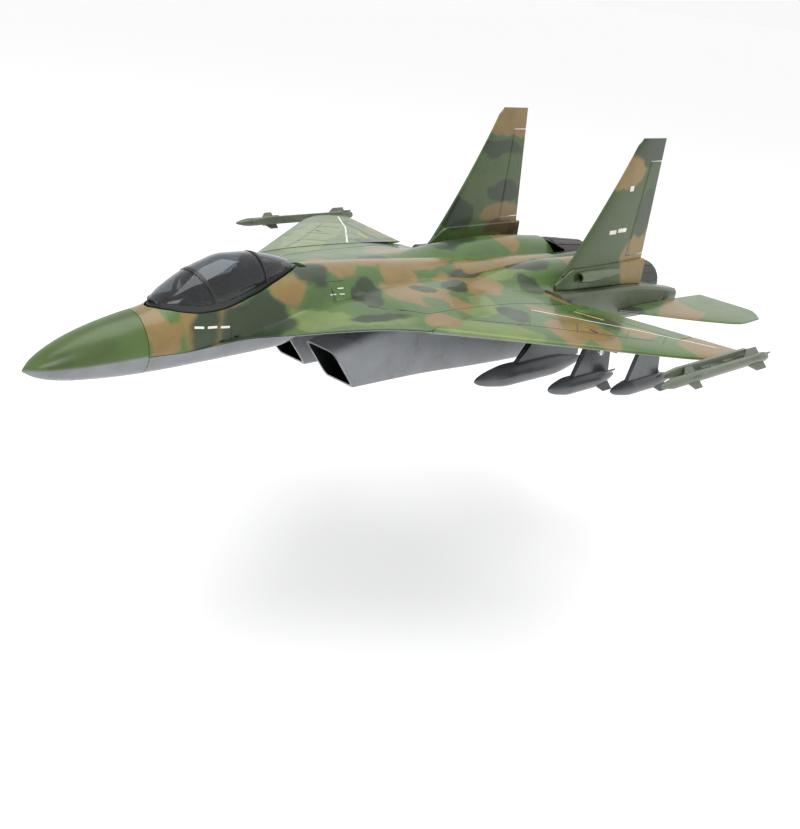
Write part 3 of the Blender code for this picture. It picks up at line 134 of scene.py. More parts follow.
# Acrylic paint airbrushed on foam: satin, with faint orange peel, patches whose edges fade over a
# millimetre or two, and a dusty, uneven tone.
GRAIN = 1 / 0.9  # foam grain, one per 0.9 mm: coarser than the real beads so that it shows
MOTTLE = 1 / 14.0  # slow change of tone, one per 14 mm
FADE = 1.1  # half-width of an airbrushed edge
WANDER = 17.0  # how far an edge wanders
GREEN, DARK, TAN, OLIVE, RUST = "44612A", "24351A", "7C6636", "64783A", "46341A"


def node(material, kind, settings=None, inputs=None, links=None):
    """Adds a node with its settings, its sockets' values and what is linked into them."""
    made = material.node_tree.nodes.new(kind)
    for name, value in (settings or {}).items():
        setattr(made, name, value)
    for name, value in (inputs or {}).items():
        made.inputs[name].default_value = value
    for name, source in (links or {}).items():
        material.node_tree.links.new(source, made.inputs[name])
    return made


def link(material, source, socket):
    material.node_tree.links.new(source, material.node_tree.nodes["Principled BSDF"].inputs[socket])


def smooth_line(points):
    """A smooth function through the points that doesn't overshoot between them."""
    xs = np.array([p[0] for p in points], float)
    ys = np.array([p[1] for p in points], float)
    step = np.diff(xs)
    slope = np.diff(ys) / step
    tangent = np.zeros(len(xs))
    tangent[0], tangent[-1] = slope[0], slope[-1]
    for i in range(1, len(xs) - 1):
        if slope[i - 1] * slope[i] > 0:
            tangent[i] = 2 * slope[i - 1] * slope[i] / (slope[i - 1] + slope[i])

    def at(x):
        x = min(max(x, xs[0]), xs[-1])
        i = min(int(np.searchsorted(xs, x, side="right")) - 1, len(step) - 1)
        t = (x - xs[i]) / step[i]
        start = (1 + 2 * t) * (1 - t) ** 2 * ys[i] + t * (1 - t) ** 2 * step[i] * tangent[i]
        end = t * t * (3 - 2 * t) * ys[i + 1] + t * t * (t - 1) * step[i] * tangent[i + 1]
        return float(start + end)

    return at


def x_at(station):
    return (LENGTH / 2) - station * LENGTH / DRAWN_LENGTH


def mix(a, b, t):
    return a + (b - a) * t


def spread(start, end, count):
    return [mix(start, end, i / (count - 1)) for i in range(count)]


def ease(t):
    t = min(max(t, 0.0), 1.0)
    return t * t * (3 - 2 * t)


def blend_max(a, b, width):
    """The larger of two heights, with a fillet where they cross."""
    h = max(width - abs(a - b), 0.0) / width
    return max(a, b) + h * h * width / 4


def arch(offset, half_width):
    """Height of a unit half-ellipse at an offset from its middle, below zero outside it."""
    t = abs(offset) / half_width
    return sqrt(1 - t * t) if t < 1 else -(t - 1) * 4


body_top = smooth_line([(0, 27.5), (5, 31.6), (13, 36.2), (25, 41), (37, 44.4), (50, 47.2), (61, 49.2),
                        (73.5, 55.2), (83, 58.4), (97, 60.5), (113, 61.5), (148, 61.0), (186, 59.5),
                        (241, 55.5), (295, 51.5), (354, 48.5), (388, 47.6)])
body_bottom = smooth_line([(0, 26.4), (5, 23.4), (13, 21), (25, 19.4), (50, 18.1), (80, 18.6),
                           (110, 19), (136, 19.7), (146, 21.5), (156, 25.5), (170, 31), (190, 34.2)])
body_half = smooth_line([(0, 0.6), (5, 5), (13, 8.5), (25, 11.7), (50, 15), (61, 16), (80, 17),
                         (110, 18.2), (150, 19), (186, 17), (241, 14.5), (295, 12.5), (388, 10.5)])
chine_half = smooth_line([(0, 0.6), (5, 5), (13, 8.5), (25, 11.7), (50, 15), (68, 16.4), (90, 19),
                          (102, 22.4), (115, 30), (128, 38), (141, 46), (160, 57.5),
                          (WING_ROOT_LE, WING_ROOT_Y)])
part_z = smooth_line([(0, 27), (25, 28.8), (45, 30), (68, 30), (90, 32), (102, 34), (115, 36),
                      (128, 38), (141, 40), (160, 42), (175, 43), (262, 43), (300, 41.4), (388, 39)])
hump_top = smooth_line([(215, 40), (240, 47.5), (262, 51), (290, 54.2), (324, 55.8), (355, 54.8),
                        (388, 52.2)])
lerx_depth = smooth_line([(90, 0), (115, 1), (150, 3), (190, 7.5), (220, 8.0)])


def aerofoil(t):
    """Half-thickness along a chord, as a share of its greatest."""
    t = min(max(t, 0.0), 1.0)
    return (0.2969 * sqrt(t) - 0.126 * t - 0.3516 * t**2 + 0.2843 * t**3 - 0.1036 * t**4) / 0.1


def hull_half(station):
    return min(chine_half(station), WING_ROOT_Y)


def edge_half(station):
    """Half-thickness of the hull's outer edge, which meets the wing root behind its leading edge."""
    t = (station - WING_ROOT_LE) / (WING_ROOT_TE - WING_ROOT_LE)
    return EDGE + (WING_ROOT_THICK / 2 - EDGE) * aerofoil(t)


def hull_up(station, y):
    """Height of the hull's upper skin."""
    part = part_z(station)
    inward = (hull_half(station) - abs(y)) / 40
    plate = part + edge_half(station) + 3.0 * ease(inward)
    body = part + (body_top(station) - part) * arch(y, body_half(station))
    z = body if station < 90 else blend_max(body, plate, 9 * ease((station - 90) / 40) + 0.01)
    if station > 215:
        hump = ENGINE_Z + (hump_top(station) - ENGINE_Z) * arch(abs(y) - ENGINE_Y, NOZZLE_R)
        z = blend_max(z, hump, 5)
    return max(z, part + EDGE * 0.5)


def hull_low(station, y):
    """Height of the hull's lower skin."""
    part = part_z(station)
    inward = (hull_half(station) - abs(y)) / 38
    plate = part - edge_half(station) - lerx_depth(station) * ease(inward)
    half = body_half(station) * mix(1.0, 0.62, ease((station - 130) / 25))
    body = part - (part - body_bottom(station)) * arch(y, half)
    z = body if station < 90 else -blend_max(-body, -plate, 7 * ease((station - 90) / 40) + 0.01)
    return min(z, part - EDGE * 0.5)


sill_half = smooth_line([(CANOPY_FRONT, 0.8), (65.6, 6.2), (73.5, 11), (83.4, 13.2), (97, 14),
                         (113, 13), (128, 10), (139, 6.2), (CANOPY_BACK, 1.2)])

nacelle_middle = smooth_line([(152, 19.5), (215, 20.5), (262, 24), (300, 27), (324, ENGINE_Y)])
nacelle_half = smooth_line([(152, 11.5), (215, 12), (262, 14), (300, 15.4), (324, 15.8)])
nacelle_bottom = smooth_line([(322, 0.0), (340, 2.2), (360, 7.5), (388, 16.5)])
nacelle_top = smooth_line([(152, 23), (170, 27), (190, 31), (215, 34.0), (262, 34.0), (300, 38),
                           (324, 44), (355, 49), (388, 50.4)])
nacelle_power = smooth_line([(152, 7), (262, 5), (320, 3.2), (388, 2.05)])
SHARP = radians(32)  # edges sharper than this stay crisp


def from_bmesh(shape, name="shape"):
    """An object of a closed mesh, with its faces turned to point out."""
    bmesh.ops.recalc_face_normals(shape, faces=shape.faces)
    if shape.calc_volume(signed=True) < 0:
        bmesh.ops.reverse_faces(shape, faces=shape.faces)
    mesh = bpy.data.meshes.new(name)
    shape.to_mesh(mesh)
    shape.free()
    obj = bpy.data.objects.new(name, mesh)
    bpy.context.scene.collection.objects.link(obj)
    return obj


def loft(loops, ring=False):
    """A closed body through loops of as many points each, or a ring whose last loop meets its first."""
    shape = bmesh.new()
    rings = [[shape.verts.new(Vector(p) * MM) for p in loop] for loop in loops]
    count = len(rings[0])
    for one, two in zip(rings, rings[1:] + rings[:1] if ring else rings[1:]):
        for i in range(count):
            j = (i + 1) % count
            shape.faces.new((one[i], one[j], two[j], two[i]))
    if not ring:
        shape.faces.new(rings[0])
        shape.faces.new(list(reversed(rings[-1])))
    bmesh.ops.triangulate(shape, faces=[f for f in shape.faces if len(f.verts) > 4])
    return from_bmesh(shape)


def prism(outline, low, high):
    """A flat outline of (x, y) points, closed from one height to another."""
    return loft([[(x, y, z) for x, y in outline] for z in (low, high)])


def slab(xs, ys, zs):
    """A box from its (low, high) ends along each axis."""
    shape = bmesh.new()
    bmesh.ops.create_cube(shape, size=1.0)
    sizes = [b - a for a, b in (xs, ys, zs)]
    middle = [(a + b) / 2 for a, b in (xs, ys, zs)]
    bmesh.ops.scale(shape, vec=Vector(sizes) * MM, verts=shape.verts)
    bmesh.ops.translate(shape, vec=Vector(middle) * MM, verts=shape.verts)
    return from_bmesh(shape)


def rod(start, end, radius, segments=12, end_radius=None):
    """A round bar, or a cone, between two points."""
    start, end = Vector(start), Vector(end)
    shape = bmesh.new()
    bmesh.ops.create_cone(
        shape, cap_ends=True, segments=segments, radius1=radius * MM,
        radius2=(radius if end_radius is None else end_radius) * MM, depth=(end - start).length * MM)
    turn = Vector((0, 0, 1)).rotation_difference(end - start).to_matrix().to_4x4()
    bmesh.ops.transform(
        shape, matrix=Matrix.Translation((start + end) / 2 * MM) @ turn, verts=shape.verts)
    return from_bmesh(shape)


def only(obj):
    bpy.ops.object.select_all(action="DESELECT")
    obj.select_set(True)
    bpy.context.view_layer.objects.active = obj


def combine(obj, tools, operation):
    """Cuts the tools out of a body, or joins them to it, and leaves a plain mesh."""
    for tool in tools:
        modifier = obj.modifiers.new("shape", "BOOLEAN")
        modifier.operation, modifier.solver, modifier.object = operation, "MANIFOLD", tool
        only(obj)
        bpy.ops.object.modifier_apply(modifier=modifier.name)
        bpy.data.objects.remove(tool)
    return obj


def cut(obj, *tools):
    return combine(obj, tools, "DIFFERENCE")


def join(obj, *tools):
    return combine(obj, tools, "UNION")


def smooth(obj, angle=SHARP):
    only(obj)
    bpy.ops.object.shade_smooth_by_angle(angle=angle)


def mirror_of(left):
    """The right-hand piece that mirrors a left-hand one, with its own mesh."""
    shape = bmesh.new()
    shape.from_mesh(left.data)
    bmesh.ops.scale(shape, vec=(1, -1, 1), verts=shape.verts)
    bmesh.ops.reverse_faces(shape, faces=shape.faces)
    mesh = bpy.data.meshes.new("mirror")
    shape.to_mesh(mesh)
    shape.free()
    right = bpy.data.objects.new("mirror", mesh)
    bpy.context.scene.collection.objects.link(right)
    return right


def fit(obj, name, body, slot, materials, *nodes, pick=None):
    """Names a finished piece, paints it and says what it rides on and which nodes it stands for."""
    obj.name = name
    obj.data.materials.clear()
    for material in materials:
        obj.data.materials.append(material)
    for face in obj.data.polygons:
        face.material_index = pick(face) if pick else 0
    smooth(obj)
    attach(obj, body)
    if nodes:
        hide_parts(*nodes)
    return obj


def place_mm(material):
    """Object coordinates in millimetres."""
    source = node(material, "ShaderNodeTexCoord").outputs["Object"]
    return node(material, "ShaderNodeMapping", inputs={"Scale": (1000, 1000, 1000)},
                links={"Vector": source}).outputs["Vector"]


def noise(material, place, scale, detail=2.0):
    return node(material, "ShaderNodeTexNoise", inputs={"Scale": scale, "Detail": detail},
                links={"Vector": place})


def math(material, operation, a, b):
    """A Math node of two sockets or numbers."""
    made = node(material, "ShaderNodeMath", {"operation": operation})
    for socket, value in zip(made.inputs, (a, b)):
        if isinstance(value, (int, float)):
            socket.default_value = value
        else:
            material.node_tree.links.new(value, socket)
    return made.outputs[0]


def colour_mix(material, factor, under, over, blend="MIX"):
    made = node(material, "ShaderNodeMix", {"data_type": "RGBA", "blend_type": blend})
    for index, value in ((0, factor), (6, under), (7, over)):
        if isinstance(value, (int, float, list, tuple)):
            made.inputs[index].default_value = value
        else:
            material.node_tree.links.new(value, made.inputs[index])
    return made.outputs[2]


def paint_surface(material, place, colour, bump=0.12):
    """Uneven tone, satin sheen and foam grain under a paint's colour."""
    tone = noise(material, place, MOTTLE, 5.0).outputs["Fac"]
    shade = node(material, "ShaderNodeMapRange", inputs={"From Min": 0.3, "From Max": 0.7,
                 "To Min": 0.84, "To Max": 1.12}, links={"Value": tone}).outputs["Result"]
    grey = node(material, "ShaderNodeCombineColor", links={c: shade for c in ("Red", "Green", "Blue")})
    link(material, colour_mix(material, 1.0, colour, grey.outputs["Color"], "MULTIPLY"), "Base Color")
    grain = noise(material, place, GRAIN, 3.0).outputs["Fac"]
    rough = node(material, "ShaderNodeMapRange", inputs={"From Min": 0.3, "From Max": 0.7,
                 "To Min": 0.24, "To Max": 0.38}, links={"Value": tone}).outputs["Result"]
    link(material, rough, "Roughness")
    made = node(material, "ShaderNodeBump", inputs={"Strength": bump, "Distance": 0.0004},
                links={"Height": grain}).outputs["Normal"]
    link(material, made, "Normal")


def patch_mask(material, place, patches, seen_from):
    """Where any of the round patches lies: (station, across, half-length, half-width, turn)."""
    nearest = None
    for station, across, half_long, half_wide, turn_by in patches:
        x = x_at(station)
        if seen_from == "top":
            at, size, turned_by = (x, across, 0), (half_long, half_wide, 1e6), (0, 0, radians(turn_by))
        else:
            at, size, turned_by = (x, 0, across), (half_long, 1e6, half_wide), (0, radians(turn_by), 0)
        local = node(material, "ShaderNodeMapping", {"vector_type": "TEXTURE"},
                     {"Location": at, "Rotation": turned_by, "Scale": size}, {"Vector": place})
        reach = node(material, "ShaderNodeVectorMath", {"operation": "LENGTH"},
                     links={"Vector": local.outputs["Vector"]}).outputs["Value"]
        gap = math(material, "MULTIPLY", math(material, "SUBTRACT", reach, 1.0),
                   min(half_long, half_wide))
        nearest = gap if nearest is None else math(material, "MINIMUM", nearest, gap)
    return node(material, "ShaderNodeMapRange", {"interpolation_type": "SMOOTHSTEP"},
                {"From Min": FADE, "From Max": -FADE}, {"Value": nearest}).outputs["Result"]


def camouflage(name, base, layers, seen_from="top"):
    """Airbrushed camouflage: patches of each colour laid over a base, one layer on another."""
    material = new_material(name, base, 0.36, coat_weight=0.25)
    place = place_mm(material)
    wobble = node(material, "ShaderNodeVectorMath", {"operation": "SUBTRACT"},
                  {1: (0.5, 0.5, 0.5)}, {0: noise(material, place, 1 / 24.0, 3.5).outputs["Color"]})
    pushed = node(material, "ShaderNodeVectorMath", {"operation": "SCALE"}, {"Scale": WANDER},
                  {0: wobble.outputs["Vector"]})
    moved = node(material, "ShaderNodeVectorMath", {"operation": "ADD"},
                 links={0: place, 1: pushed.outputs["Vector"]}).outputs["Vector"]
    colour = linear(base)
    for code, patches in layers:
        mask = patch_mask(material, moved, patches, seen_from)
        colour = colour_mix(material, mask, colour, linear(code))
    paint_surface(material, place, colour)
    return material


hull_paint = camouflage("airbrushed camouflage acrylic", GREEN, [
    (OLIVE, [(40, 0, 30, 3.5, 0), (150, 40, 34, 6, -35), (140, 30, 18, 9, -30), (205, 88, 26, 10, -35),
             # The long olive band over the right wing at station 250 is partly painted highlight:
             # besides olive paint, it lightens the front of that wing where it catches more light.
             (250, -100, 60, 14, 36), (230, 60, 22, 9, 30), (285, 30, 28, 7, 0), (215, 0, 80, 5, 0)]),
    (TAN, [(62, 0, 9, 30, 0), (86, 13, 18, 8, 0), (90, -14, 20, 7, 0), (190, 66, 9, 9, 20),
           (132, 12, 13, 6, 0),
           (206, 40, 13, 26, 28), (216, 20, 13, 22, 24), (250, 34, 16, 22, 38), (240, 2, 24, 9, 0),
           (284, 14, 26, 10, 0), (262, 108, 10, 26, -22), (246, 104, 10, 15, -30),
           (314, 150, 22, 16, 20),
           (262, 80, 6, 16, 0), (200, -2, 20, 9, 0), (312, -95, 10, 26, -15), (330, 4, 30, 9, 0),
           (258, -40, 14, 14, 30), (192, -30, 10, 15, -30), (346, -30, 12, 18, 0), (350, 30, 16, 12, 0),
           (170, 2, 12, 10, 0), (405, 80, 30, 14, 20), (405, -78, 24, 12, -20), (306, 60, 12, 14, 0),
           (290, 120, 12, 9, 0)]),
    (GREEN, [(228, 24, 7, 10, 20), (268, 50, 16, 8, 30), (250, 58, 9, 11, 0), (68, 8, 5, 5, 0),
             (205, 52, 6, 10, 0), (425, 84, 12, 16, 0)]),
    (DARK, [(112, 21, 19, 8, -10), (122, -22, 20, 8, 10), (84, 17, 10, 3.2, 0), (236, 34, 9, 8, 30),
            (262, 20, 14, 8, 10), (214, 30, 7, 7, 30), (304, 28, 18, 8, 0), (300, -31, 24, 9, 0),
            (152, 8, 12, 7, 0), (180, 24, 8, 14, -20), (236, 76, 8, 13, -30), (286, 100, 8, 14, -20),
            (198, -14, 14, 9, 20), (228, -24, 12, 10, -20), (276, -70, 12, 14, 30), (352, 42, 30, 6, 0),
            (345, 12, 12, 6, 0), (368, 66, 9, 8, 0), (436, -94, 12, 8, 0), (292, 46, 10, 7, 0),
            (165, 46, 14, 5, -30)]),
])
grey_paint = new_material("sprayed grey acrylic", "7A7D80", 0.36)
paint_surface(grey_paint, place_mm(grey_paint), linear("7A7D80"))
ACROSS_POINTS, RIM = 71, 5.0
HULL_FRONT = NOSE_CONE_END + GAP


def across(half, station, count=ACROSS_POINTS):
    """Offsets over a section's width: closer at the edges of the round nose, at the middle aft."""
    wide = ease((station - 90) / 60)
    return [half * mix(sin(u * pi / 2), 0.55 * u + 0.45 * u**3, wide) for u in spread(-1, 1, count)]


def slope_stretch(surface, station, y):
    """How much further a wall reaches along Z than along the skin's normal."""
    rise = (surface(station, y + 0.3) - surface(station, y - 0.3)) / 0.6
    return sqrt(1 + min(abs(rise), 3.0) ** 2)


def half_hull(surface, split, side, stations, inset=0.0):
    """The solid between a skin and the parting surface, or the hollow inside it when inset."""
    loops = []
    for station in stations:
        rim = mix(inset, RIM, ease((station - 90) / 50)) if inset else 0.0
        half = hull_half(station) - rim
        x = x_at(station)
        skin = [(x, y, surface(station, y) - side * inset * slope_stretch(surface, station, y))
                for y in across(half, station)]
        base = part_z(station) + split
        loops.append(skin + [(x, half, base), (x, 0, base), (x, -half, base)])
    return loft(loops)


def nacelle_loop(station, inset=0.0, count=16):
    """One ring of the nacelle: a rounded box at the mouth that becomes round at the nozzle."""
    bottom, top = nacelle_bottom(station) + inset, nacelle_top(station) - inset
    half = nacelle_half(station) - inset
    power = 2 / nacelle_power(station)
    flatten = mix(1.06, 1.0, ease((station - 300) / 60))
    slant = (NACELLE_MOUTH_BOTTOM - NACELLE_MOUTH_TOP) * ease((215 - station) / 63)
    points = []
    for i in range(count):
        c, s = cos(2 * pi * (i + 0.5) / count), sin(2 * pi * (i + 0.5) / count)
        y = nacelle_middle(station) + half * np.sign(c) * abs(c) ** power
        rise = (top - bottom) / 2 * np.sign(s) * abs(s) ** power
        z = max((top + bottom) / 2 + rise * (flatten if s < 0 else 1.0), bottom)
        points.append((x_at(station + slant * (1 - z / nacelle_top(station))), y, z))
    return points


NACELLE_STATIONS = spread(152, 300, 38) + spread(304, HULL_END - GAP, 22)


def nacelle_room():
    return loft([nacelle_loop(s, -GAP, 64) for s in NACELLE_STATIONS[:-1] + [HULL_END + 2]])


def both_sides(make):
    left = make()
    return left, mirror_of(left)


def behind_wing(low, high, inner):
    """A block outboard of the aft hull."""
    xs = (x_at(HULL_END + 10), x_at(WING_ROOT_TE))
    return slab(xs, (inner, WING_ROOT_Y + 10), (low, high))


def spar_bore():
    reach = (WING_ROOT_Y + 40)
    x = x_at(SPAR_STATION)
    return rod((x, -reach, SPAR_Z), (x, reach, SPAR_Z), SPAR_R + GAP)


def hatch_outline(grow, front=CANOPY_FRONT, back=CANOPY_BACK):
    """The canopy's plan outline, grown or shrunk."""
    stations = [mix(front, back, (1 - cos(pi * i / 80)) / 2) for i in range(81)]
    ends = grow if grow > 0 else 0
    side = [(x_at(s + ends * (2 * (s - front) / (back - front) - 1)), sill_half(s) + grow)
            for s in stations]
    return side + [(x, -y) for x, y in reversed(side)]


skin_stations = spread(HULL_FRONT, HULL_END, 110)
upper = half_hull(hull_up, GAP / 2, 1, skin_stations)
hollow_stations = [HULL_FRONT - 1] + skin_stations[2:-2:3] + [HULL_END + 1]
cut(upper, half_hull(hull_up, -6, 1, hollow_stations, WALL))
hinge_x, pin_z, inside = x_at(HATCH_HINGE_STATION), HATCH_HINGE_Z, KNUCKLE_HALF + 0.4
lug = ((hinge_x - 2.6, hinge_x + 2.6), (inside - 0.6, HINGE_PIN_HALF + 1), (pin_z - 3, pin_z + 1.2))
join(upper, *both_sides(lambda: slab(*lug)))
cut(upper, prism(hatch_outline(HATCH_GAP), part_z(CANOPY_FRONT) + 8, 90))
cut(upper, rod((hinge_x, -inside, pin_z), (hinge_x, inside, pin_z), KNUCKLE_R + RUN_GAP, 32))
cut(upper, slab((hinge_x - KNUCKLE_R - RUN_GAP, hinge_x + 4), (-inside, inside), (pin_z, pin_z + 9)))
pin_end = HINGE_PIN_HALF + GAP
cut(upper, rod((hinge_x, -pin_end, pin_z), (hinge_x, pin_end, pin_z), HINGE_PIN_R + GAP, 24))
cut(upper, *both_sides(lambda: behind_wing(0, 90, AFT_HULL_Y)))
cut(upper, *both_sides(nacelle_room))
spigot_ends = (x_at(STING_STATION - 18), 0, STING_Z), (x_at(HULL_END + 5), 0, STING_Z)
half = STING_R + GAP
saddle = slab((x_at(HULL_END + 5), x_at(STING_STATION) + GAP), (-half, half), (30, 90))
cut(upper, rod(*spigot_ends, 3 + GAP, 32), saddle, spar_bore())
fit(upper, "upper_skin", "airframe", "camouflage_skin", [hull_paint], "fuselage_upper_shell")

lower = half_hull(hull_low, -GAP / 2, -1, skin_stations)
cut(lower, half_hull(hull_low, 6, -1, hollow_stations[:-2], WALL))
cut(lower, *both_sides(lambda: behind_wing(0, 90, ENGINE_Y - 16)))
cut(lower, *both_sides(nacelle_room))
sting_room = rod((x_at(STING_STATION) + GAP, 0, STING_Z), spigot_ends[1], STING_R + GAP, 32)
cut(lower, rod(*spigot_ends, 3 + GAP, 32), sting_room, spar_bore())
fit(lower, "lower_skin", "airframe", "grey_skin", [grey_paint], "fuselage_lower_shell")

# ---------------------------------------------------------------- radome
# A hollow moulded nose, glossier than the hull, green above a soft line and grey below it.
nose_paint = new_material("airbrushed satin acrylic on the radome", "5F7F46", 0.3)
nose_place = place_mm(nose_paint)
nose_axes = node(nose_paint, "ShaderNodeSeparateXYZ", links={"Vector": nose_place}).outputs
split_line = math(nose_paint, "MULTIPLY_ADD", nose_axes["X"], -0.057)
split_line.node.inputs[2].default_value = 27.4 + 0.057 * LENGTH / 2
above = math(nose_paint, "SUBTRACT", nose_axes["Z"], split_line)
under = node(nose_paint, "ShaderNodeMapRange", {"interpolation_type": "SMOOTHSTEP"},
             {"From Min": 0.9, "From Max": -0.9}, {"Value": above}).outputs["Result"]
nose_edge = patch_mask(nose_paint, nose_place, [(12, 12, 26, 6, 0), (12, -12, 26, 6, 0)], "top")
nose_green = colour_mix(nose_paint, nose_edge, linear("455B28"), linear("3E5224"))
paint_surface(nose_paint, nose_place, colour_mix(nose_paint, under, nose_green, linear("7A7D80")), 0.05)


def nose_section(station, inset):
    half = body_half(station) - inset
    ys = [half * sin(u * pi / 2) for u in spread(-1, 1, 33)]
    x, share = x_at(station), body_half(station) / half
    up = [(x, y, hull_up(station, y * share * 0.999) - inset) for y in ys]
    down = [(x, y, hull_low(station, y * share * 0.999) + inset) for y in reversed(ys[1:-1])]
    return up + down


cone_stations = [0.02] + [NOSE_CONE_END * (i / 40) ** 1.6 for i in range(1, 41)]
radome = loft([nose_section(s, 0) for s in cone_stations])
cut(radome, loft([nose_section(s, WALL) for s in spread(6, 44, 20) + [NOSE_CONE_END + 1]]))
fit(radome, "radome", "airframe", "radome", [nose_paint], "nose_cone")

# ---------------------------------------------------------------- nacelles and nozzles
# Square-mouthed foam ducts below the hull that turn round towards the tail, black inside, each
# ending in a turned nozzle with overlapping petals.
NOZZLE_END = 436.0
NOZZLE_WALL = 1.2


def merged(*pieces):
    """Shapes that don't touch, as one object for a cut or for a group of like pieces."""
    shape = bmesh.new()
    for piece in pieces:
        shape.from_mesh(piece.data)
        bpy.data.objects.remove(piece)
    return from_bmesh(shape)


def fit_pair(left, name, body, slot, materials, *nodes, pick=None, right_materials=None):
    """Fits a left-hand piece and its mirrored right-hand one. Names hold a * for the side."""
    right = mirror_of(left)
    for obj, side in ((left, "left"), (right, "right")):
        look = right_materials if side == "right" and right_materials else materials
        fit(obj, name.replace("*", side), body.replace("*", side), slot, look,
            *[n.replace("*", side) for n in nodes], pick=pick)


duct_black = new_material("matt black acrylic inside the ducts", "101112", 0.7)
paint_surface(duct_black, place_mm(duct_black), linear("101112"))
ring_sides = 64
outer = [nacelle_loop(s, 0, ring_sides) for s in NACELLE_STATIONS]
inner = [nacelle_loop(s, WALL, ring_sides) for s in reversed(NACELLE_STATIONS)]
nacelle = loft(outer + inner, ring=True)
for face in nacelle.data.polygons:
    centre = face.center
    axis = Vector((centre.x, nacelle_middle(LENGTH / 2 - centre.x / MM) * MM, 0))
    low, high = [f(LENGTH / 2 - centre.x / MM) for f in (nacelle_bottom, nacelle_top)]
    inward = Vector((0, axis.y - centre.y, (low + high) / 2 * MM - centre.z))
    face.material_index = 1 if face.normal.dot(inward) > 0 and abs(face.normal.x) < 0.8 else 0
inside_faces = {face.index for face in nacelle.data.polygons if face.material_index}
fit_pair(nacelle, "nacelle_skin_*", "airframe", "grey_skin", [grey_paint, duct_black], "nacelle_*",
         pick=lambda face: 1 if face.index in inside_faces else 0)


def turned(profile, y, z, segments=20):
    """A body of revolution along X from (station, radius) points, round the axis at y and z."""
    shape = bmesh.new()
    points = [shape.verts.new((x_at(s) * MM, 0, r * MM)) for s, r in profile]
    if profile[0][1] > 0 or profile[-1][1] > 0:
        points.append(points[0])
    for a, b in zip(points, points[1:]):
        shape.edges.new((a, b))
    bmesh.ops.spin(shape, geom=list(shape.verts) + list(shape.edges), axis=(1, 0, 0), cent=(0, 0, 0),
                   angle=2 * pi, steps=segments, use_merge=True)
    bmesh.ops.remove_doubles(shape, verts=shape.verts, dist=0.00001)
    bmesh.ops.translate(shape, vec=Vector((0, y, z)) * MM, verts=shape.verts)
    return from_bmesh(shape)


def metal(name, code, roughness, stain="2A2826", share=0.35):
    """Bare or painted metal with slow stains and fine turning marks round its axis."""
    material = new_material(name, code, roughness, 1.0)
    place = place_mm(material)
    tone = noise(material, place, 1 / 9.0, 5.0).outputs["Fac"]
    worn = node(material, "ShaderNodeMapRange",
                inputs={"From Min": 0.45, "From Max": 0.75, "To Max": share},
                links={"Value": tone}).outputs["Result"]
    link(material, colour_mix(material, worn, linear(code), linear(stain)), "Base Color")
    fine = noise(material, place, 1 / 0.8, 2.0).outputs["Fac"]
    link(material, node(material, "ShaderNodeBump", inputs={"Strength": 0.08, "Distance": 0.0003},
                        links={"Height": fine}).outputs["Normal"], "Normal")
    return material


gunmetal = metal("gunmetal enamel on the nozzles", "4C4B49", 0.38)
soot = new_material("soot-black inside of the nozzles", "141313", 0.65)
paint_surface(soot, place_mm(soot), linear("141313"))
PETALS = 16
petal_outer = [(s, r - 0.35) for s, r in ((HULL_END, NOZZLE_R), (392, 17.3), (397, 17.0), (403, 16.6),
                                          (410, 15.9), (418, 14.8), (427, 13.8), (NOZZLE_END, 12.8))]
nozzle = turned(petal_outer + [(s, r + 0.35 - NOZZLE_WALL) for s, r in reversed(petal_outer)],
                ENGINE_Y, ENGINE_Z, 96)
petals = []
for i in range(PETALS):
    middle, reach = 2 * pi * i / PETALS, 2 * pi / PETALS * 0.43
    loops = []
    for station, radius in petal_outer[2:]:
        x = x_at(min(station, NOZZLE_END - 0.2))
        arc = [middle + reach * u for u in spread(-1, 1, 5)]
        loops.append([(x, ENGINE_Y + r * cos(a), ENGINE_Z + r * sin(a))
                      for r, way in ((radius + 0.3, arc), (radius - 0.3, arc[::-1])) for a in way])
    petals.append(loft(loops))
petal_set = merged(*petals)
fit_pair(petal_set, "nozzle_petals_*", "airframe", "nozzle_metal", [gunmetal], "nozzle_*")
bore = {f.index for f in nozzle.data.polygons
        if Vector((0, f.center.y - ENGINE_Y * MM, f.center.z - ENGINE_Z * MM)).dot(f.normal) < -1e-6}
fit_pair(nozzle, "nozzle_*_cone", "airframe", "nozzle_metal", [gunmetal, soot],
         pick=lambda face: 1 if face.index in bore else 0)

# ---------------------------------------------------------------- wings and ailerons
# Solid foam wings on a carbon spar, camouflaged above and grey below, with foam ailerons that
# turn round-nosed in a slot of the same radius and carry a nylon horn below.
WING_SPAN = 320.0  # across the wing tips, without rails and missiles
WING_TIP_LE, WING_TIP_TE = 296.3, 329.9
WING_ROOT_Z, WING_TIP_Z = 43.3, 39.0
AILERON_INNER_Y = 80.0
AILERON_TIP_MARGIN = 25.0  # wing left outboard of the aileron
AILERON_INNER_HINGE, AILERON_OUTER_HINGE = 287.5, 307.0
HORN_Y = 104.0
HORN_LENGTH = 8.0
PUSHROD_LENGTH = 30.0
ARM_DROP = 1.3  # servo arm's axis below the aileron's
PUSHROD_R = 0.6
PLATE = 1.2  # horns and servo arms


def foil(leading, trailing, thick, edge=0.3, count=9):
    """(station, offset) points round a section, from the trailing edge over the top and back."""
    shares = [(1 + cos(pi * i / (count - 1))) / 2 for i in range(count)]
    skin = [(mix(leading, trailing, t), edge + (thick / 2 - edge) * aerofoil(t)) for t in shares]
    return skin + [(s, -offset) for s, offset in reversed(skin)]


def wing_at(y):
    """Leading edge, trailing edge, height and thickness of the wing at a span position."""
    t = (y - WING_ROOT_Y) / (WING_SPAN / 2 - WING_ROOT_Y)
    return (mix(WING_ROOT_LE, WING_TIP_LE, t), mix(WING_ROOT_TE, WING_TIP_TE, t),
            mix(WING_ROOT_Z, WING_TIP_Z, t), mix(WING_ROOT_THICK, WING_TIP_THICK, t))


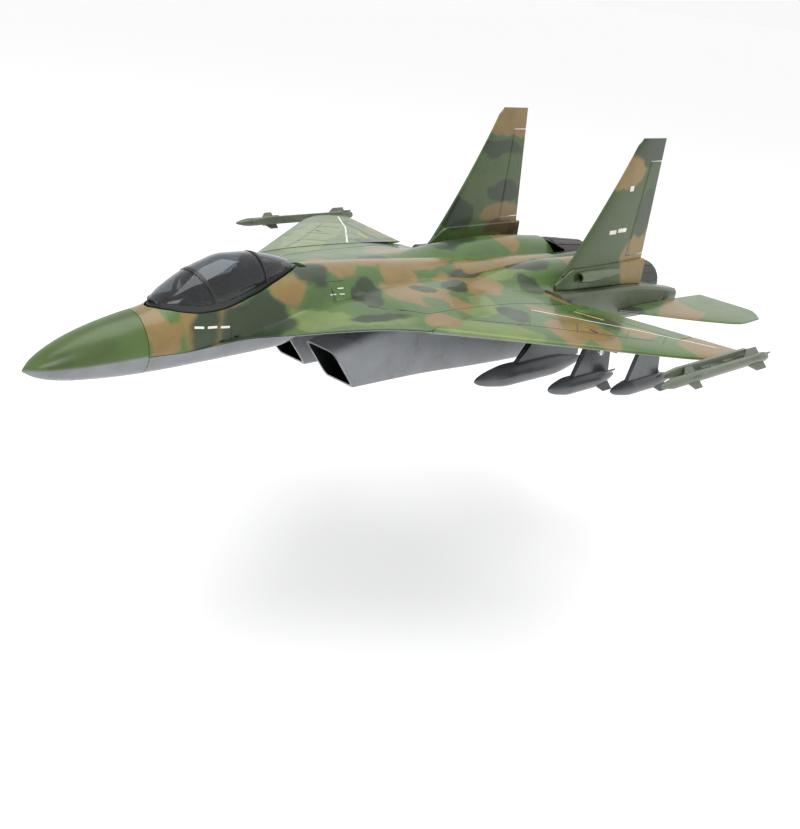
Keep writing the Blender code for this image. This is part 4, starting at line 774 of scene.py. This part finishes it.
def wing_half(station, y):
    leading, trailing, _, thick = wing_at(y)
    return 0.3 + (thick / 2 - 0.3) * aerofoil((station - leading) / (trailing - leading))


def aileron_hinge(y):
    """A point of the aileron's hinge line."""
    outer = WING_SPAN / 2 - AILERON_TIP_MARGIN
    t = (y - AILERON_INNER_Y) / (outer - AILERON_INNER_Y)
    return Vector((x_at(mix(AILERON_INNER_HINGE, AILERON_OUTER_HINGE, t)), y, wing_at(y)[2]))


def aileron_station(y):
    return (LENGTH / 2 - aileron_hinge(y).x) * DRAWN_LENGTH / LENGTH


AILERON_SIDE_GAP = 0.8  # its ends swing sideways a little, because the hinge line is swept
AILERON_ENDS = (AILERON_INNER_Y, WING_SPAN / 2 - AILERON_TIP_MARGIN)
HINGE_ALONG = (aileron_hinge(AILERON_ENDS[1]) - aileron_hinge(AILERON_ENDS[0])).normalized()
HINGE_DOWN = (Vector((0, 0, -1)) + HINGE_ALONG * HINGE_ALONG.z).normalized()
HINGE_AHEAD = HINGE_ALONG.cross(-HINGE_DOWN).normalized()
HORN_ROOT = aileron_hinge(HORN_Y)
ARM_ROOT = HORN_ROOT + HINGE_AHEAD * PUSHROD_LENGTH + HINGE_DOWN * ARM_DROP
AILERON_SERVO = ((2.0, 9.0), (-6.0, 6.0), (-1.3, 4.2))  # along, ahead and down from the arm's root
ARM_ROOM = ((-1.3, 2.0), (-4.0, 4.0), (-2.0, 6.0))


def hinge_block(along, ahead, down):
    """A box square to the hinge line, from its ranges round the servo arm's root."""
    corners = []
    for side in along:
        corners.append([ARM_ROOT + HINGE_ALONG * side + HINGE_AHEAD * a + HINGE_DOWN * d
                        for a, d in ((ahead[0], down[0]), (ahead[1], down[0]),
                                     (ahead[1], down[1]), (ahead[0], down[1]))])
    return loft(corners)


def plate(root, outline, offset=0.0):
    """A thin plate square to the hinge line: (ahead, down) points from its root."""
    sides = [offset - PLATE / 2, offset + PLATE / 2]
    return loft([[root + HINGE_ALONG * side + HINGE_AHEAD * a + HINGE_DOWN * d for a, d in outline]
                 for side in sides])


def cross_rod(root, ahead, down, low, high, radius):
    """A round bar along the hinge line's direction."""
    centre = root + HINGE_AHEAD * ahead + HINGE_DOWN * down
    return rod(centre + HINGE_ALONG * low, centre + HINGE_ALONG * high, radius)


def topside(face):
    """Camouflage above, grey below, parted along the leading edge."""
    return 0 if face.normal.z > -0.12 else 1


tip = WING_SPAN / 2
loops = []
for y in spread(WING_ROOT_Y + GAP, tip - 8, 50) + spread(tip - 7, tip, 10):
    leading, trailing, z, thick = wing_at(y)
    pull = 3.0 * ease((y - tip + 8) / 8)
    loops.append([(x_at(s), y, z + dz) for s, dz in foil(leading + pull, trailing, thick, count=31)])
wing = loft(loops)
inner_end, outer_end = AILERON_ENDS[0] - AILERON_SIDE_GAP, AILERON_ENDS[1] + AILERON_SIDE_GAP
front = [(aileron_hinge(y).x + wing_half(aileron_station(y), y) + RUN_GAP, y)
         for y in (inner_end, outer_end)]
cut(wing, prism(front + [(x_at(360), outer_end), (x_at(360), inner_end)], 20, 60), spar_bore())
cut(wing, hinge_block(*[(low - GAP, high + GAP) for low, high in AILERON_SERVO]), hinge_block(*ARM_ROOM))
fit_pair(wing, "wing_skin_*", "airframe", "camouflage_skin", [hull_paint, grey_paint], "wing_*",
         pick=topside)
loops = []
for y in spread(*AILERON_ENDS, 40):
    hinge = aileron_station(y)
    _, trailing, z, _ = wing_at(y)
    nose = wing_half(hinge, y)
    top = [(mix(trailing, hinge, t), wing_half(mix(trailing, hinge, t), y)) for t in spread(0, 1, 12)]
    rounding = [(hinge - nose * sin(a), nose * cos(a)) for a in spread(0.1 * pi, 0.9 * pi, 12)]
    around = top + rounding + [(s, -dz) for s, dz in reversed(top)]
    loops.append([(x_at(s), y, z + dz) for s, dz in around])
aileron = loft(loops)
horn = [(-0.2, 0), (-3.2, 0.7), (-1.4, HORN_LENGTH), (-0.8, HORN_LENGTH + 1.2),
        (0.8, HORN_LENGTH + 1.2), (1.3, HORN_LENGTH), (0.5, 0.7)]
join(aileron, plate(HORN_ROOT, horn))
cut(aileron, cross_rod(HORN_ROOT, 0, HORN_LENGTH, -3, 3, PUSHROD_R + GAP))
fit_pair(aileron, "aileron_skin_*", "aileron_*_body", "camouflage_skin", [hull_paint, grey_paint],
         "aileron_*", pick=topside)

# ---------------------------------------------------------------- fins and rudders
# Foam fins on a thick root block with a cooling scoop outboard, and rudders on a wire.
FIN_HEIGHT = 132.5  # fin tips above the nacelle bottoms
FIN_ROOT_LE, FIN_ROOT_TE = 302.0, 391.0
FIN_TIP_LE, FIN_TIP_TE = 360.5, 387.0
FIN_LE_FILLET = 3.6  # how far the leading edge bows back of a straight line
FIN_ROOT_Y, FIN_TIP_Y = 50.9, 54.0
FIN_ROOT_Z = 46.0
FIN_ROOT_THICK, FIN_TIP_THICK = 4.6, 2.0
LEDGE_Z = 57.5  # top of the thick fin root
RUDDER_LOW_Z = 61.0
RUDDER_TIP_MARGIN = 14.0
RUDDER_LOW_HINGE, RUDDER_HIGH_HINGE = 371.5, 376.0
TORQUE_ROD_R = 0.5
RUDDER_ROD_TOP = 72.0
SCOOP_FRONT, SCOOP_BACK = 320.0, 359.0

boom_top = smooth_line([(300, 45.0), (323, 44.6), (381, 42.4), (410, 38.6), (432, 34.6)])
left_fin_paint = camouflage("airbrushed camouflage acrylic on the left fin", "36491F", [
    (TAN, [(356, 112, 15, 10, 40), (388, 56, 26, 22, 0)]),
    (DARK, [(378, 128, 26, 10, 0), (382, 88, 8, 14, 0)])], "side")
right_fin_paint = camouflage("airbrushed camouflage acrylic on the right fin", "41562A", [
    (TAN, [(372, 125, 26, 11, 0), (372, 63, 22, 8, 0)]),
    (DARK, [(362, 106, 26, 5.5, 0), (374, 79, 20, 7, -6), (325, 66, 16, 10, 0)]),
    (RUST, [(372, 54, 18, 4, 0)])], "side")


def fin_at(z):
    """Leading edge, trailing edge, Y and thickness of a fin at a height."""
    t = (z - FIN_ROOT_Z) / (FIN_HEIGHT - FIN_ROOT_Z)
    fillet = FIN_LE_FILLET * (4 * max(t, 0) * (1 - t)) ** 0.7
    return (mix(FIN_ROOT_LE, FIN_TIP_LE, t) + fillet, mix(FIN_ROOT_TE, FIN_TIP_TE, t),
            mix(FIN_ROOT_Y, FIN_TIP_Y, t), mix(FIN_ROOT_THICK, FIN_TIP_THICK, t))


def fin_half(station, z):
    leading, trailing, _, thick = fin_at(z)
    return 0.3 + (thick / 2 - 0.3) * aerofoil((station - leading) / (trailing - leading))


def rudder_hinge(z):
    """Station of the rudder's hinge line at a height."""
    high = FIN_HEIGHT - RUDDER_TIP_MARGIN
    t = (z - RUDDER_LOW_Z) / (high - RUDDER_LOW_Z)
    return mix(RUDDER_LOW_HINGE, RUDDER_HIGH_HINGE, t)


def rudder_axis(z):
    return Vector((x_at(rudder_hinge(z)), fin_at(z)[2], z))


loops = []
for z in spread(LEDGE_Z - 4, FIN_HEIGHT - 5, 44) + spread(FIN_HEIGHT - 4.5, FIN_HEIGHT, 8):
    leading, trailing, y, thick = fin_at(z)
    leading += 2.5 * ease((z - FIN_HEIGHT + 5) / 5)
    loops.append([(x_at(s), y + dy, z) for s, dy in foil(leading, trailing, thick, count=29)])
fin = loft(loops)
block = []
for station in spread(304, 322, 14) + spread(326, 391, 14):
    rise = ease((station - 300) / 18)
    low = boom_top(station) + GAP
    high = mix(low + 1.5, LEDGE_Z, rise)
    inner_y, outer_y = mix(50.6, 48.2, rise), mix(51.4, 54.6, rise)
    x = x_at(station)
    block.append([(x, inner_y, low), (x, outer_y, low), (x, outer_y, high - 1),
                  (x, outer_y - 0.3, high - 0.3),
                  (x, outer_y - 1, high), (x, inner_y + 0.7, high), (x, inner_y, high - 0.7)])
join(fin, loft(block))
SCOOP_Y, SCOOP_Z = 56.2, 52.4
scoop = [(SCOOP_FRONT, 3.0), (SCOOP_FRONT + 8, 3.6), (SCOOP_FRONT + 30, 3.4), (SCOOP_BACK, 2.2)]
low_z, high_z = RUDDER_LOW_Z - RUN_GAP, FIN_HEIGHT - RUDDER_TIP_MARGIN + RUN_GAP
opening = []
for z in (low_z, high_z):
    ahead = x_at(rudder_hinge(z)) + fin_half(rudder_hinge(z), z) + RUN_GAP
    opening.append([(ahead, 40, z), (ahead, 70, z), (x_at(402), 70, z), (x_at(402), 40, z)])
cut(fin, loft(opening), rod(rudder_axis(40), rudder_axis(RUDDER_LOW_Z + 2), TORQUE_ROD_R + RUN_GAP))
fit_pair(fin, "fin_skin_*", "airframe", "camouflage_skin", [left_fin_paint], "fin_*",
         right_materials=[right_fin_paint])
scoop_tube = turned([(SCOOP_FRONT, 0)] + scoop + [(SCOOP_BACK, 0)], SCOOP_Y, SCOOP_Z, 40)
scoop_ends = [(x_at(s), SCOOP_Y, SCOOP_Z) for s in (SCOOP_FRONT - 3, SCOOP_FRONT + 20)]
cut(scoop_tube, rod(*scoop_ends, 2.2, 32))
scoop_paint = new_material("olive acrylic on the scoops", "56624A", 0.26)
paint_surface(scoop_paint, place_mm(scoop_paint), linear("56624A"), 0.03)
fit_pair(scoop_tube, "fin_scoop_*", "airframe", "grey_skin", [scoop_paint])
loops = []
for z in spread(RUDDER_LOW_Z, FIN_HEIGHT - RUDDER_TIP_MARGIN, 36):
    hinge = rudder_hinge(z)
    _, trailing, y, _ = fin_at(z)
    nose = fin_half(hinge, z)
    side = [(mix(trailing, hinge, t), fin_half(mix(trailing, hinge, t), z)) for t in spread(0, 1, 10)]
    rounding = [(hinge - nose * sin(a), nose * cos(a)) for a in spread(0.1 * pi, 0.9 * pi, 10)]
    around = side + rounding + [(s, -dy) for s, dy in reversed(side)]
    loops.append([(x_at(s), y + dy, z) for s, dy in around])
rudder = loft(loops)
cut(rudder, rod(rudder_axis(RUDDER_LOW_Z - 3), rudder_axis(RUDDER_ROD_TOP + GAP), TORQUE_ROD_R + GAP))
fit_pair(rudder, "rudder_skin_*", "rudder_*_body", "camouflage_skin", [left_fin_paint], "rudder_*",
         right_materials=[right_fin_paint])

# ---------------------------------------------------------------- stabilators
# All-moving foam tailplanes on wire spindles.
STAB_Z = 28.5
STAB_PIVOT = 412.0
STAB_ROOT_Y = 61.5
SPINDLE_R = 0.9
SPINDLE_TIP_Y = 82.0
stab_lead = smooth_line([(STAB_ROOT_Y, 362), (110, 415), (113, 421)])
stab_trail = smooth_line([(STAB_ROOT_Y, 459), (97, 460), (112, 447), (113, 445)])
loops = []
for y in spread(STAB_ROOT_Y, 105, 30) + spread(106, 113, 12):
    thick = mix(3.6, 1.5, (y - STAB_ROOT_Y) / 51.5)
    loops.append([(x_at(s), y, STAB_Z + dz)
                  for s, dz in foil(stab_lead(y), stab_trail(y), thick, count=25)])
stabilator = loft(loops)
pivot_x = x_at(STAB_PIVOT)
spindle_ends = [(pivot_x, y, STAB_Z) for y in (STAB_ROOT_Y - 2, SPINDLE_TIP_Y + GAP)]
cut(stabilator, rod(*spindle_ends, SPINDLE_R + GAP))
fit_pair(stabilator, "stabilator_skin_*", "stabilator_*_body", "camouflage_skin",
         [hull_paint, grey_paint], "stabilator_*", pick=topside)

# ---------------------------------------------------------------- canopy
# One clear moulding tinted nearly black on a black frame with two bows, over a cockpit tray.
canopy_top = smooth_line([(CANOPY_FRONT, 49.8), (70.8, 56.8), (83, 64), (91.4, 67.4), (103, 70.4),
                          (115, 70.2), (126.5, 68.5), (143, 64.0), (CANOPY_BACK, 61.4)])


def sill_z(station):
    return hull_up(station, sill_half(station))


FRAME_WIDTH, FRAME_DEPTH, FRAME_RISE = 2.6, 2.2, 0.2
GLASS_WALL = 0.9
smoked = new_material("smoked acrylic canopy", "8C949A", 0.03, transmission_weight=1.0, ior=1.49)
frame_black = new_material("black satin enamel on the canopy frame", "17191A", 0.35)
paint_surface(frame_black, place_mm(frame_black), linear("1B1E1D"), 0.05)


def frame_opening(grow=0.0):
    return hatch_outline(grow - FRAME_WIDTH, CANOPY_FRONT + 7, CANOPY_BACK - 8)


def canopy_arch(station, inset, foot, count=41):
    """An arch of the canopy's section, from one foot over the top to the other."""
    half = sill_half(station) - inset
    base = sill_z(station) + foot
    rise = max(canopy_top(station) - inset - base, 0.4)
    return [(x_at(station), half * cos(a), base + rise * sin(a) ** 0.9) for a in spread(pi, 0, count)]


hatch_stations = [mix(64, 142, (1 - cos(pi * i / 60)) / 2) for i in range(61)]
loops = []
for station in hatch_stations:
    top = canopy_arch(station, 0.1, FRAME_RISE + GAP)
    below = canopy_arch(station, min(GLASS_WALL, sill_half(station) * 0.4), FRAME_RISE + GAP)
    loops.append(top + below[::-1])
fit(loft(loops), "canopy_bubble", "canopy_hatch", "smoked_canopy", [smoked], "canopy_glass")

frame_stations = [mix(61.6, 147.2, (1 - cos(pi * i / 60)) / 2) for i in range(61)]
sill_rings = []
for s in frame_stations:
    half, low, high = sill_half(s), sill_z(s) - FRAME_DEPTH, sill_z(s) + FRAME_RISE
    sill_rings.append([(x_at(s), -half, low), (x_at(s), half, low), (x_at(s), half, high),
                       (x_at(s), -half, high)])
ring = loft(sill_rings)
cut(ring, prism(frame_opening(), 40, 80))
for station in (83.0, 120.0):
    arches = []
    for s in (station - 1.1, station + 1.1):
        high, low = [canopy_arch(s, GLASS_WALL + GAP + deep, -0.6) for deep in (0.1, 1.2)]
        arches.append(high + low[::-1])
    join(ring, loft(arches))
join(ring, rod((hinge_x, -KNUCKLE_HALF, pin_z), (hinge_x, KNUCKLE_HALF, pin_z), KNUCKLE_R, 32),
     slab((hinge_x, x_at(143)), (-KNUCKLE_HALF + 0.5, KNUCKLE_HALF - 0.5), (pin_z - 0.2, pin_z + 1.5)))
cut(ring, rod((hinge_x, -10, pin_z), (hinge_x, 10, pin_z), HINGE_PIN_R + GAP, 24))
fit(ring, "canopy_ring", "canopy_hatch", "canopy_frame_paint", [frame_black], "canopy_frame")


def bow(station, lean, half_width):
    """A painted band over the glass, which leans back towards its feet."""
    loops = []
    for side in (-1, 1):
        rows = []
        for deep in (-0.25, 0.35):
            row = []
            for n, a in enumerate(spread(pi, 0, 61)):
                at = station + lean * (1 - sin(a)) + side * half_width
                row.append(Vector(canopy_arch(at, deep, 0.3, 61)[n]))
            rows.append(row)
        loops.append(rows[0] + rows[1][::-1])
    return loft(loops)


for name, station, lean, half_width in (("front_bow", 83.5, 7.0, 0.9), ("rear_bow", 119.5, 2.0, 0.9)):
    fit(bow(station, lean, half_width), name, "canopy_hatch", "canopy_frame_paint", [frame_black])
edge_loops = []
for station in [mix(64.5, 141.5, (1 - cos(pi * i / 80)) / 2) for i in range(81)]:
    high = sill_z(station)
    edge_loops.append((x_at(station), sill_half(station), high))
for side, label in ((1, "left"), (-1, "right")):
    loops = []
    for x, y, z in edge_loops:
        loops.append([(x, side * (y - 1.6), z + 0.3), (x, side * (y + 0.35), z + 0.3),
                      (x, side * (y + 0.25), z + 1.7), (x, side * (y - 1.6), z + 1.7)])
    fit(loft(loops), "canopy_sill_" + label, "canopy_hatch", "canopy_frame_paint", [frame_black])

# ---------------------------------------------------------------- stores under the wings
# Moulded tanks and bombs in metallic grey on thin pylons, and missiles on rails at the tips.
AILERON_SWING = 8.5  # depth left free behind a pylon's top
TANK_Y, TANK_Z, TANK_R = 67.0, 6.9, 6.2
BOMB_MID_Y, BOMB_MID_Z, BOMB_MID_R = 97.0, 8.2, 5.0
BOMB_OUTER_Y, BOMB_OUTER_Z, BOMB_OUTER_R = 122.0, 12.6, 4.4
PYLON_THICK = 2.4
MISSILE_R = 2.7
MISSILE_OFFSET = 7.2  # missile axis outboard of the wing tip
MISSILE_Z = 36.6
STORE_FIN_THICK = 0.8
store_metal = new_material("metallic grey enamel on the stores", "55585A", 0.32, 0.5)
paint_surface(store_metal, place_mm(store_metal), linear("5A5D5F"), 0.05)
rail_paint = new_material("grey-green acrylic on rails and missiles", "5A6152", 0.38)
paint_surface(rail_paint, place_mm(rail_paint), linear("5C6354"), 0.05)


def store_fins(station, length, y, z, inner, span):
    """Four fins at forty-five degrees round a store's tail."""
    fins = []
    for i in range(4):
        angle = pi / 4 + i * pi / 2
        out = Vector((0, cos(angle), sin(angle)))
        side = Vector((0, -out.z, out.y)) * STORE_FIN_THICK / 2
        outline = [(station, inner), (station + length * 0.45, span), (station + length, span),
                   (station + length, inner)]
        ends = [[Vector((x_at(s), y, z)) + out * r + side * k for s, r in outline] for k in (-1, 1)]
        fins.append(loft(ends))
    return fins


def pylon(y, foot_z, front, lean, back, underside, top_back=None):
    """A thin strut from inside a store up to just under the skin above it. A top_back ahead of its
    back edge slopes the strut clear of the aileron that swings down behind it."""
    top_end = back if top_back is None else top_back
    top = [mix(front + lean, top_end, t) for t in (0, 0.25, 0.5, 0.75, 1)]
    outline = [(back + 3, foot_z), (front, foot_z), (front + lean * 0.45, foot_z + 11)]
    outline += [(s, underside(s) - GAP) for s in top]
    if top_back is not None:
        outline.append((back, underside(top_end) - AILERON_SWING))
    return loft([[(x_at(s), y + k * PYLON_THICK / 2, z) for s, z in outline] for k in (-1, 1)])


def store(y, z, radius, ends, pylon_foot, lean, underside, fin_station=None, top_back=None):
    """A turned store with its pylon and, on a bomb, four fins behind its middle."""
    front, back = ends
    length = back - front
    swell = smooth_line([(0, 0), (0.04, 0.35), (0.14, 0.72), (0.3, 1), (0.68, 1), (0.9, 0.6), (1, 0.25)])
    profile = [(front + length * t, radius * swell(t)) for t in [0, 0.01, 0.02] + spread(0.04, 1, 44)]
    body = turned(profile + [(back, 0)], y, z, 48)
    join(body, pylon(y, z + radius * 0.5, pylon_foot[0], lean, pylon_foot[1], underside, top_back))
    if fin_station:
        join(body, merged(*store_fins(fin_station, 14, y, z, radius * 0.5, radius * 1.7)))
    return body


def wing_underside(y):
    return lambda station: wing_at(y)[2] - wing_half(station, y)


def tank_underside(station):
    return min(hull_low(min(station, 298), TANK_Y + k * PYLON_THICK / 2) for k in (-1, 1)) - GAP


def ahead_of_aileron(y):
    """The last station under the wing that the aileron's rounded nose leaves free."""
    hinge = aileron_station(y - PYLON_THICK / 2)
    return hinge - wing_half(hinge, y) - RUN_GAP - 1.0


tank = store(TANK_Y, TANK_Z, TANK_R, (223, 318), (254, 312), 27, tank_underside)
fit_pair(tank, "tank_*", "airframe", "store_grey", [store_metal], "drop_tank_*")
bomb = store(BOMB_MID_Y, BOMB_MID_Z, BOMB_MID_R, (249, 309), (268, 300), 14,
             wing_underside(BOMB_MID_Y), 288, ahead_of_aileron(BOMB_MID_Y))
fit_pair(bomb, "inner_bomb_*", "airframe", "store_grey", [store_metal], "bomb_mid_*")
bomb = store(BOMB_OUTER_Y, BOMB_OUTER_Z, BOMB_OUTER_R, (270, 329), (283, 311), 10,
             wing_underside(BOMB_OUTER_Y), 307, ahead_of_aileron(BOMB_OUTER_Y))
fit_pair(bomb, "outer_bomb_*", "airframe", "store_grey", [store_metal], "bomb_outer_*")
missile_y = tip + MISSILE_OFFSET
missile = turned([(240, 0), (240.3, 0.5), (241.2, 0.95), (243, 1.4), (246, 2.1), (250, MISSILE_R),
                  (262, MISSILE_R),
                  (262.2, 2.5), (262.8, 2.5), (263, MISSILE_R), (342, MISSILE_R), (345, 2.1), (345, 0)],
                 missile_y, MISSILE_Z, 40)
for place in ((262, 11, 6.2), (322, 18, 6.4)):
    join(missile, merged(*store_fins(place[0], place[1], missile_y, MISSILE_Z, 1.5, place[2])))
fit_pair(missile, "missile_*", "airframe", "missile_grey", [rail_paint], "tip_missile_*")

# ---------------------------------------------------------------- small parts kept from the frame
# Mouldings, servos, fans, wire and the electronics keep their frame shape; the plain boxes among
# them get rounded edges, and all get their own finish.


def soften(obj, width, angle=30, segments=2):
    """Rounds the edges that are sharper than an angle, as a mould leaves them."""
    modifier = obj.modifiers.new("round", "BEVEL")
    modifier.width, modifier.segments = width * MM, segments
    modifier.limit_method, modifier.angle_limit = "ANGLE", radians(angle)
    modifier.harden_normals = False
    only(obj)
    bpy.ops.object.modifier_apply(modifier=modifier.name)
    return obj


def rounded(name, width):
    """A copy of a frame node with its edges rounded."""
    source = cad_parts[name]
    obj = bpy.data.objects.new(name, source.data.copy())
    bpy.context.scene.collection.objects.link(obj)
    only(obj)
    bpy.ops.object.mode_set(mode="EDIT")
    bpy.ops.mesh.select_all(action="SELECT")
    bpy.ops.mesh.remove_doubles(threshold=0.00002)
    bpy.ops.mesh.dissolve_limited(angle_limit=radians(2))
    bpy.ops.object.mode_set(mode="OBJECT")
    return soften(obj, width, 35)


def moulded(name, code, roughness, coat=0.0):
    """Moulded plastic with a faint grain and slow unevenness in its gloss."""
    material = new_material(name, code, roughness, coat_weight=coat)
    place = place_mm(material)
    tone = noise(material, place, 1 / 5.0, 4.0).outputs["Fac"]
    spread_of = node(material, "ShaderNodeMapRange", inputs={"From Min": 0.3, "From Max": 0.7,
                     "To Min": roughness * 0.85, "To Max": roughness * 1.2}, links={"Value": tone})
    link(material, spread_of.outputs["Result"], "Roughness")
    fine = noise(material, place, 1 / 0.5, 2.0).outputs["Fac"]
    link(material, node(material, "ShaderNodeBump", inputs={"Strength": 0.06, "Distance": 0.0002},
                        links={"Height": fine}).outputs["Normal"], "Normal")
    return material


sting_paint = new_material("grey-green acrylic on the tail sting", "56604A", 0.38)
paint_surface(sting_paint, place_mm(sting_paint), linear("56604A"))
sting = turned([(STING_STATION, 0), (STING_STATION, STING_R - 0.4), (STING_STATION + 0.4, STING_R)] +
               [(s, STING_R) for s in spread(STING_STATION + 3, 436, 14)] +
               [(449, 4.7), (458, 4.3), (461, 4.0), (463, 3.2), (464, 2.4), (464, 0)], 0, STING_Z, 48)
join(sting, rod((x_at(STING_STATION) + 14, 0, STING_Z), (x_at(STING_STATION) - 2, 0, STING_Z), 3, 32))
fit(sting, "tail_tube", "airframe", "sting_paint", [sting_paint], "tail_sting")

steel = metal("bright spring steel wire", "B5B7BA", 0.22, "6A6C70", 0.3)
anodised = metal("gold anodised aluminium", "B79A4A", 0.3, "7B6428", 0.2)
blue_case = moulded("blue moulded servo case", "2B5C9E", 0.22, 0.4)
nylon_white = moulded("white moulded nylon", "E4E3DC", 0.4)
nylon_black = moulded("black glass-filled nylon", "1D1E21", 0.42)
tray_black = moulded("black vacuum-formed styrene", "1B1C1D", 0.45)
seat_brown = moulded("dark brown moulded plastic", "3B332A", 0.55)
carbon = moulded("pultruded carbon tube", "141416", 0.28, 0.5)
wrap_blue = moulded("blue shrink wrap", "233F86", 0.25, 0.3)
board_green = moulded("green solder mask", "17512F", 0.3, 0.3)

boom_paint = new_material("dark olive acrylic on the booms", "4A5240", 0.36)
paint_surface(boom_paint, place_mm(boom_paint), linear("4A5240"))
ROUNDED = [("boom_*", "airframe", "grey_skin", boom_paint, 0.5),
           ("tip_rail_*", "airframe", "rail_grey", rail_paint, 0.3)]
for name, body, slot, look, width in ROUNDED:
    for side in ("left", "right"):
        made = rounded(name.replace("*", side), width)
        fit(made, name.replace("*", side) + "_rounded", body, slot, [look], name.replace("*", side))

KEPT = {"aileron_servo_*": blue_case, "stab_servo_*": blue_case, "rudder_servo_*": blue_case,
        "aileron_servo_arm_*": nylon_white, "aileron_pushrod_*": steel, "rudder_torque_rod_*": steel,
        "stab_spindle_*": steel, "fan_rotor_*": nylon_black, "fan_housing_*": nylon_black,
        "fan_motor_*": anodised, "canopy_hinge_pin": steel, "wing_spar": carbon, "battery": wrap_blue,
        "control_board": board_green, "cockpit_tub": tray_black, "pilot_seat": seat_brown}
for pattern, look in KEPT.items():
    for name in {pattern.replace("*", side) for side in ("left", "right")}:
        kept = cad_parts[name]
        kept.data.materials.clear()
        kept.data.materials.append(look)

# ---------------------------------------------------------------- panel lines, markings and painted highlights
# Panel joints drawn as fine dark lines, a few plain painted bars and dashes, and on each wing a white
# line that is a painted highlight. Each is a thin strip of paint that follows the skin a twentieth of
# a millimetre above it.


def strip(points, width, lift=0.07):
    """A ribbon of paint along surface points (x, y, z, normal)."""
    shape = bmesh.new()
    rows = []
    for i, (here, normal) in enumerate(points):
        ahead = points[min(i + 1, len(points) - 1)][0] - points[max(i - 1, 0)][0]
        side = ahead.cross(normal).normalized() * width / 2
        low, high = here + normal * (lift - 0.12), here + normal * lift
        rows.append([shape.verts.new(Vector(p) * MM) for p in
                     (high - side, high + side, low + side, low - side)])
    for one, two in zip(rows, rows[1:]):
        for k in range(4):
            shape.faces.new((one[k], one[(k + 1) % 4], two[(k + 1) % 4], two[k]))
    shape.faces.new(rows[0])
    shape.faces.new(rows[-1][::-1])
    return from_bmesh(shape)


def top_point(station, y, height):
    """A point of an upper skin and the skin's normal there."""
    step = 0.4
    dx = (height(station - step, y) - height(station + step, y)) / (2 * step)
    dy = (height(station, y + step) - height(station, y - step)) / (2 * step)
    return Vector((x_at(station), y, height(station, y))), Vector((-dx, -dy, 1)).normalized()


def wing_top(station, y):
    return wing_at(abs(y))[2] + wing_half(station, abs(y))


def along(corners, height, step=2.0):
    """Surface points along straight runs between (station, y) corners."""
    points = []
    for (s0, y0), (s1, y1) in zip(corners, corners[1:]):
        count = max(int(sqrt((s1 - s0) ** 2 + (y1 - y0) ** 2) / step), 2)
        points += [top_point(mix(s0, s1, t), mix(y0, y1, t), height) for t in spread(0, 1, count)][:-1]
    return points + [top_point(*corners[-1], height)]


def mark(name, runs, height, width, look):
    """Several strips of paint on an upper skin of the airframe as one piece: a marking, and for the
    white flap lines a painted highlight.
    """
    fit(merged(*[strip(along(run, height), width) for run in runs]), name, "airframe",
        "camouflage_skin", [look])


def flipped(runs):
    return [[(s, -y) for s, y in run] for run in runs]


line_ink = new_material("dark acrylic wash in the panel lines", "2E3426", 0.5)
paint_surface(line_ink, place_mm(line_ink), linear("2E3426"), 0.02)
# White paint for the markings, and for the white flap lines, which are a painted highlight.
white_mark_and_highlight = new_material("white acrylic markings and painted highlights", "DAD9CF", 0.35)
paint_surface(white_mark_and_highlight, place_mm(white_mark_and_highlight), linear("DAD9CF"), 0.02)
yellow_mark = new_material("yellow acrylic markings", "C9B43C", 0.35)
paint_surface(yellow_mark, place_mm(yellow_mark), linear("C9B43C"), 0.02)
# The white flap line on each wing is a painted highlight: it stands for the glint along a crease of the
# wing top ahead of the aileron, not for a marking.
flap_highlight_line = [[(254, 73.5), (291, 115), (318, 152)]]
wing_lines = [[(205, 74), (231, 91)], [(231, 91), (244, 81)], [(250, 108), (263, 98)],
              [(272, 124), (286, 116)], [(287, 137), (302, 130)], [(226, 87), (286, 132)],
              [(262, 84), (286, 108)], [(262, 84), (270, 78)]]
mark("wing_lines_left", wing_lines, wing_top, 0.35, line_ink)
mark("wing_lines_right", flipped(wing_lines), wing_top, 0.35, line_ink)
# Painted highlight: the white flap lines.
mark("flap_line_left", flap_highlight_line, wing_top, 0.9, white_mark_and_highlight)
mark("flap_line_right", flipped(flap_highlight_line), wing_top, 1.2, white_mark_and_highlight)
mark("aileron_dashes_left", [[(281, 83), (287, 99)]], wing_top, 1.4, yellow_mark)
mark("aileron_dashes_right", flipped([[(281, 83), (287, 99)]]), wing_top, 1.4, yellow_mark)
hull_lines = [[(66, 15.2), (66, 9)], [(66, -9), (66, -15.2)], [(97, 18.6), (97, 15.5)],
              [(97, -15.5), (97, -18.6)], [(180, 47), (190, 58), (252, 62), (296, 70)],
              [(180, -47), (190, -58), (252, -62), (296, -70)], [(158, 14), (170, 14)],
              [(160, 16), (160, 21), (172, 21)], [(170, 34), (183, 50)], [(170, -34), (183, -50)]]
mark("hull_lines", hull_lines, hull_up, 0.32, line_ink)
mark("nose_dashes", [[(77, 15.4), (82, 16.0)], [(84, 16.2), (89, 16.6)], [(91, 16.8), (96, 17.2)]],
     hull_up, 1.1, white_mark_and_highlight)
mark("cheek_ticks", [[(158, 18), (162, 18)], [(164, 18), (168, 18)], [(164, 16.5), (168, 16.5)]],
     hull_up, 0.6, white_mark_and_highlight)


def fin_side(station, z, side):
    """A point of a fin's outer face and the face's normal there."""
    return (Vector((x_at(station), side * (fin_at(z)[2] + fin_half(station, z)), z)),
            Vector((0, side, 0)))


for side, label in ((1, "left"), (-1, "right")):
    bars = [strip([fin_side(s, z, side) for s in spread(start, end, 8)], width)
            for start, end, z, width in ((346, 353, 77, 2.4), (355, 364, 77.6, 2.4),
                                         (358, 362, 103, 3.2))]
    fit(merged(*bars), "fin_bars_" + label, "airframe", "camouflage_skin", [white_mark_and_highlight])
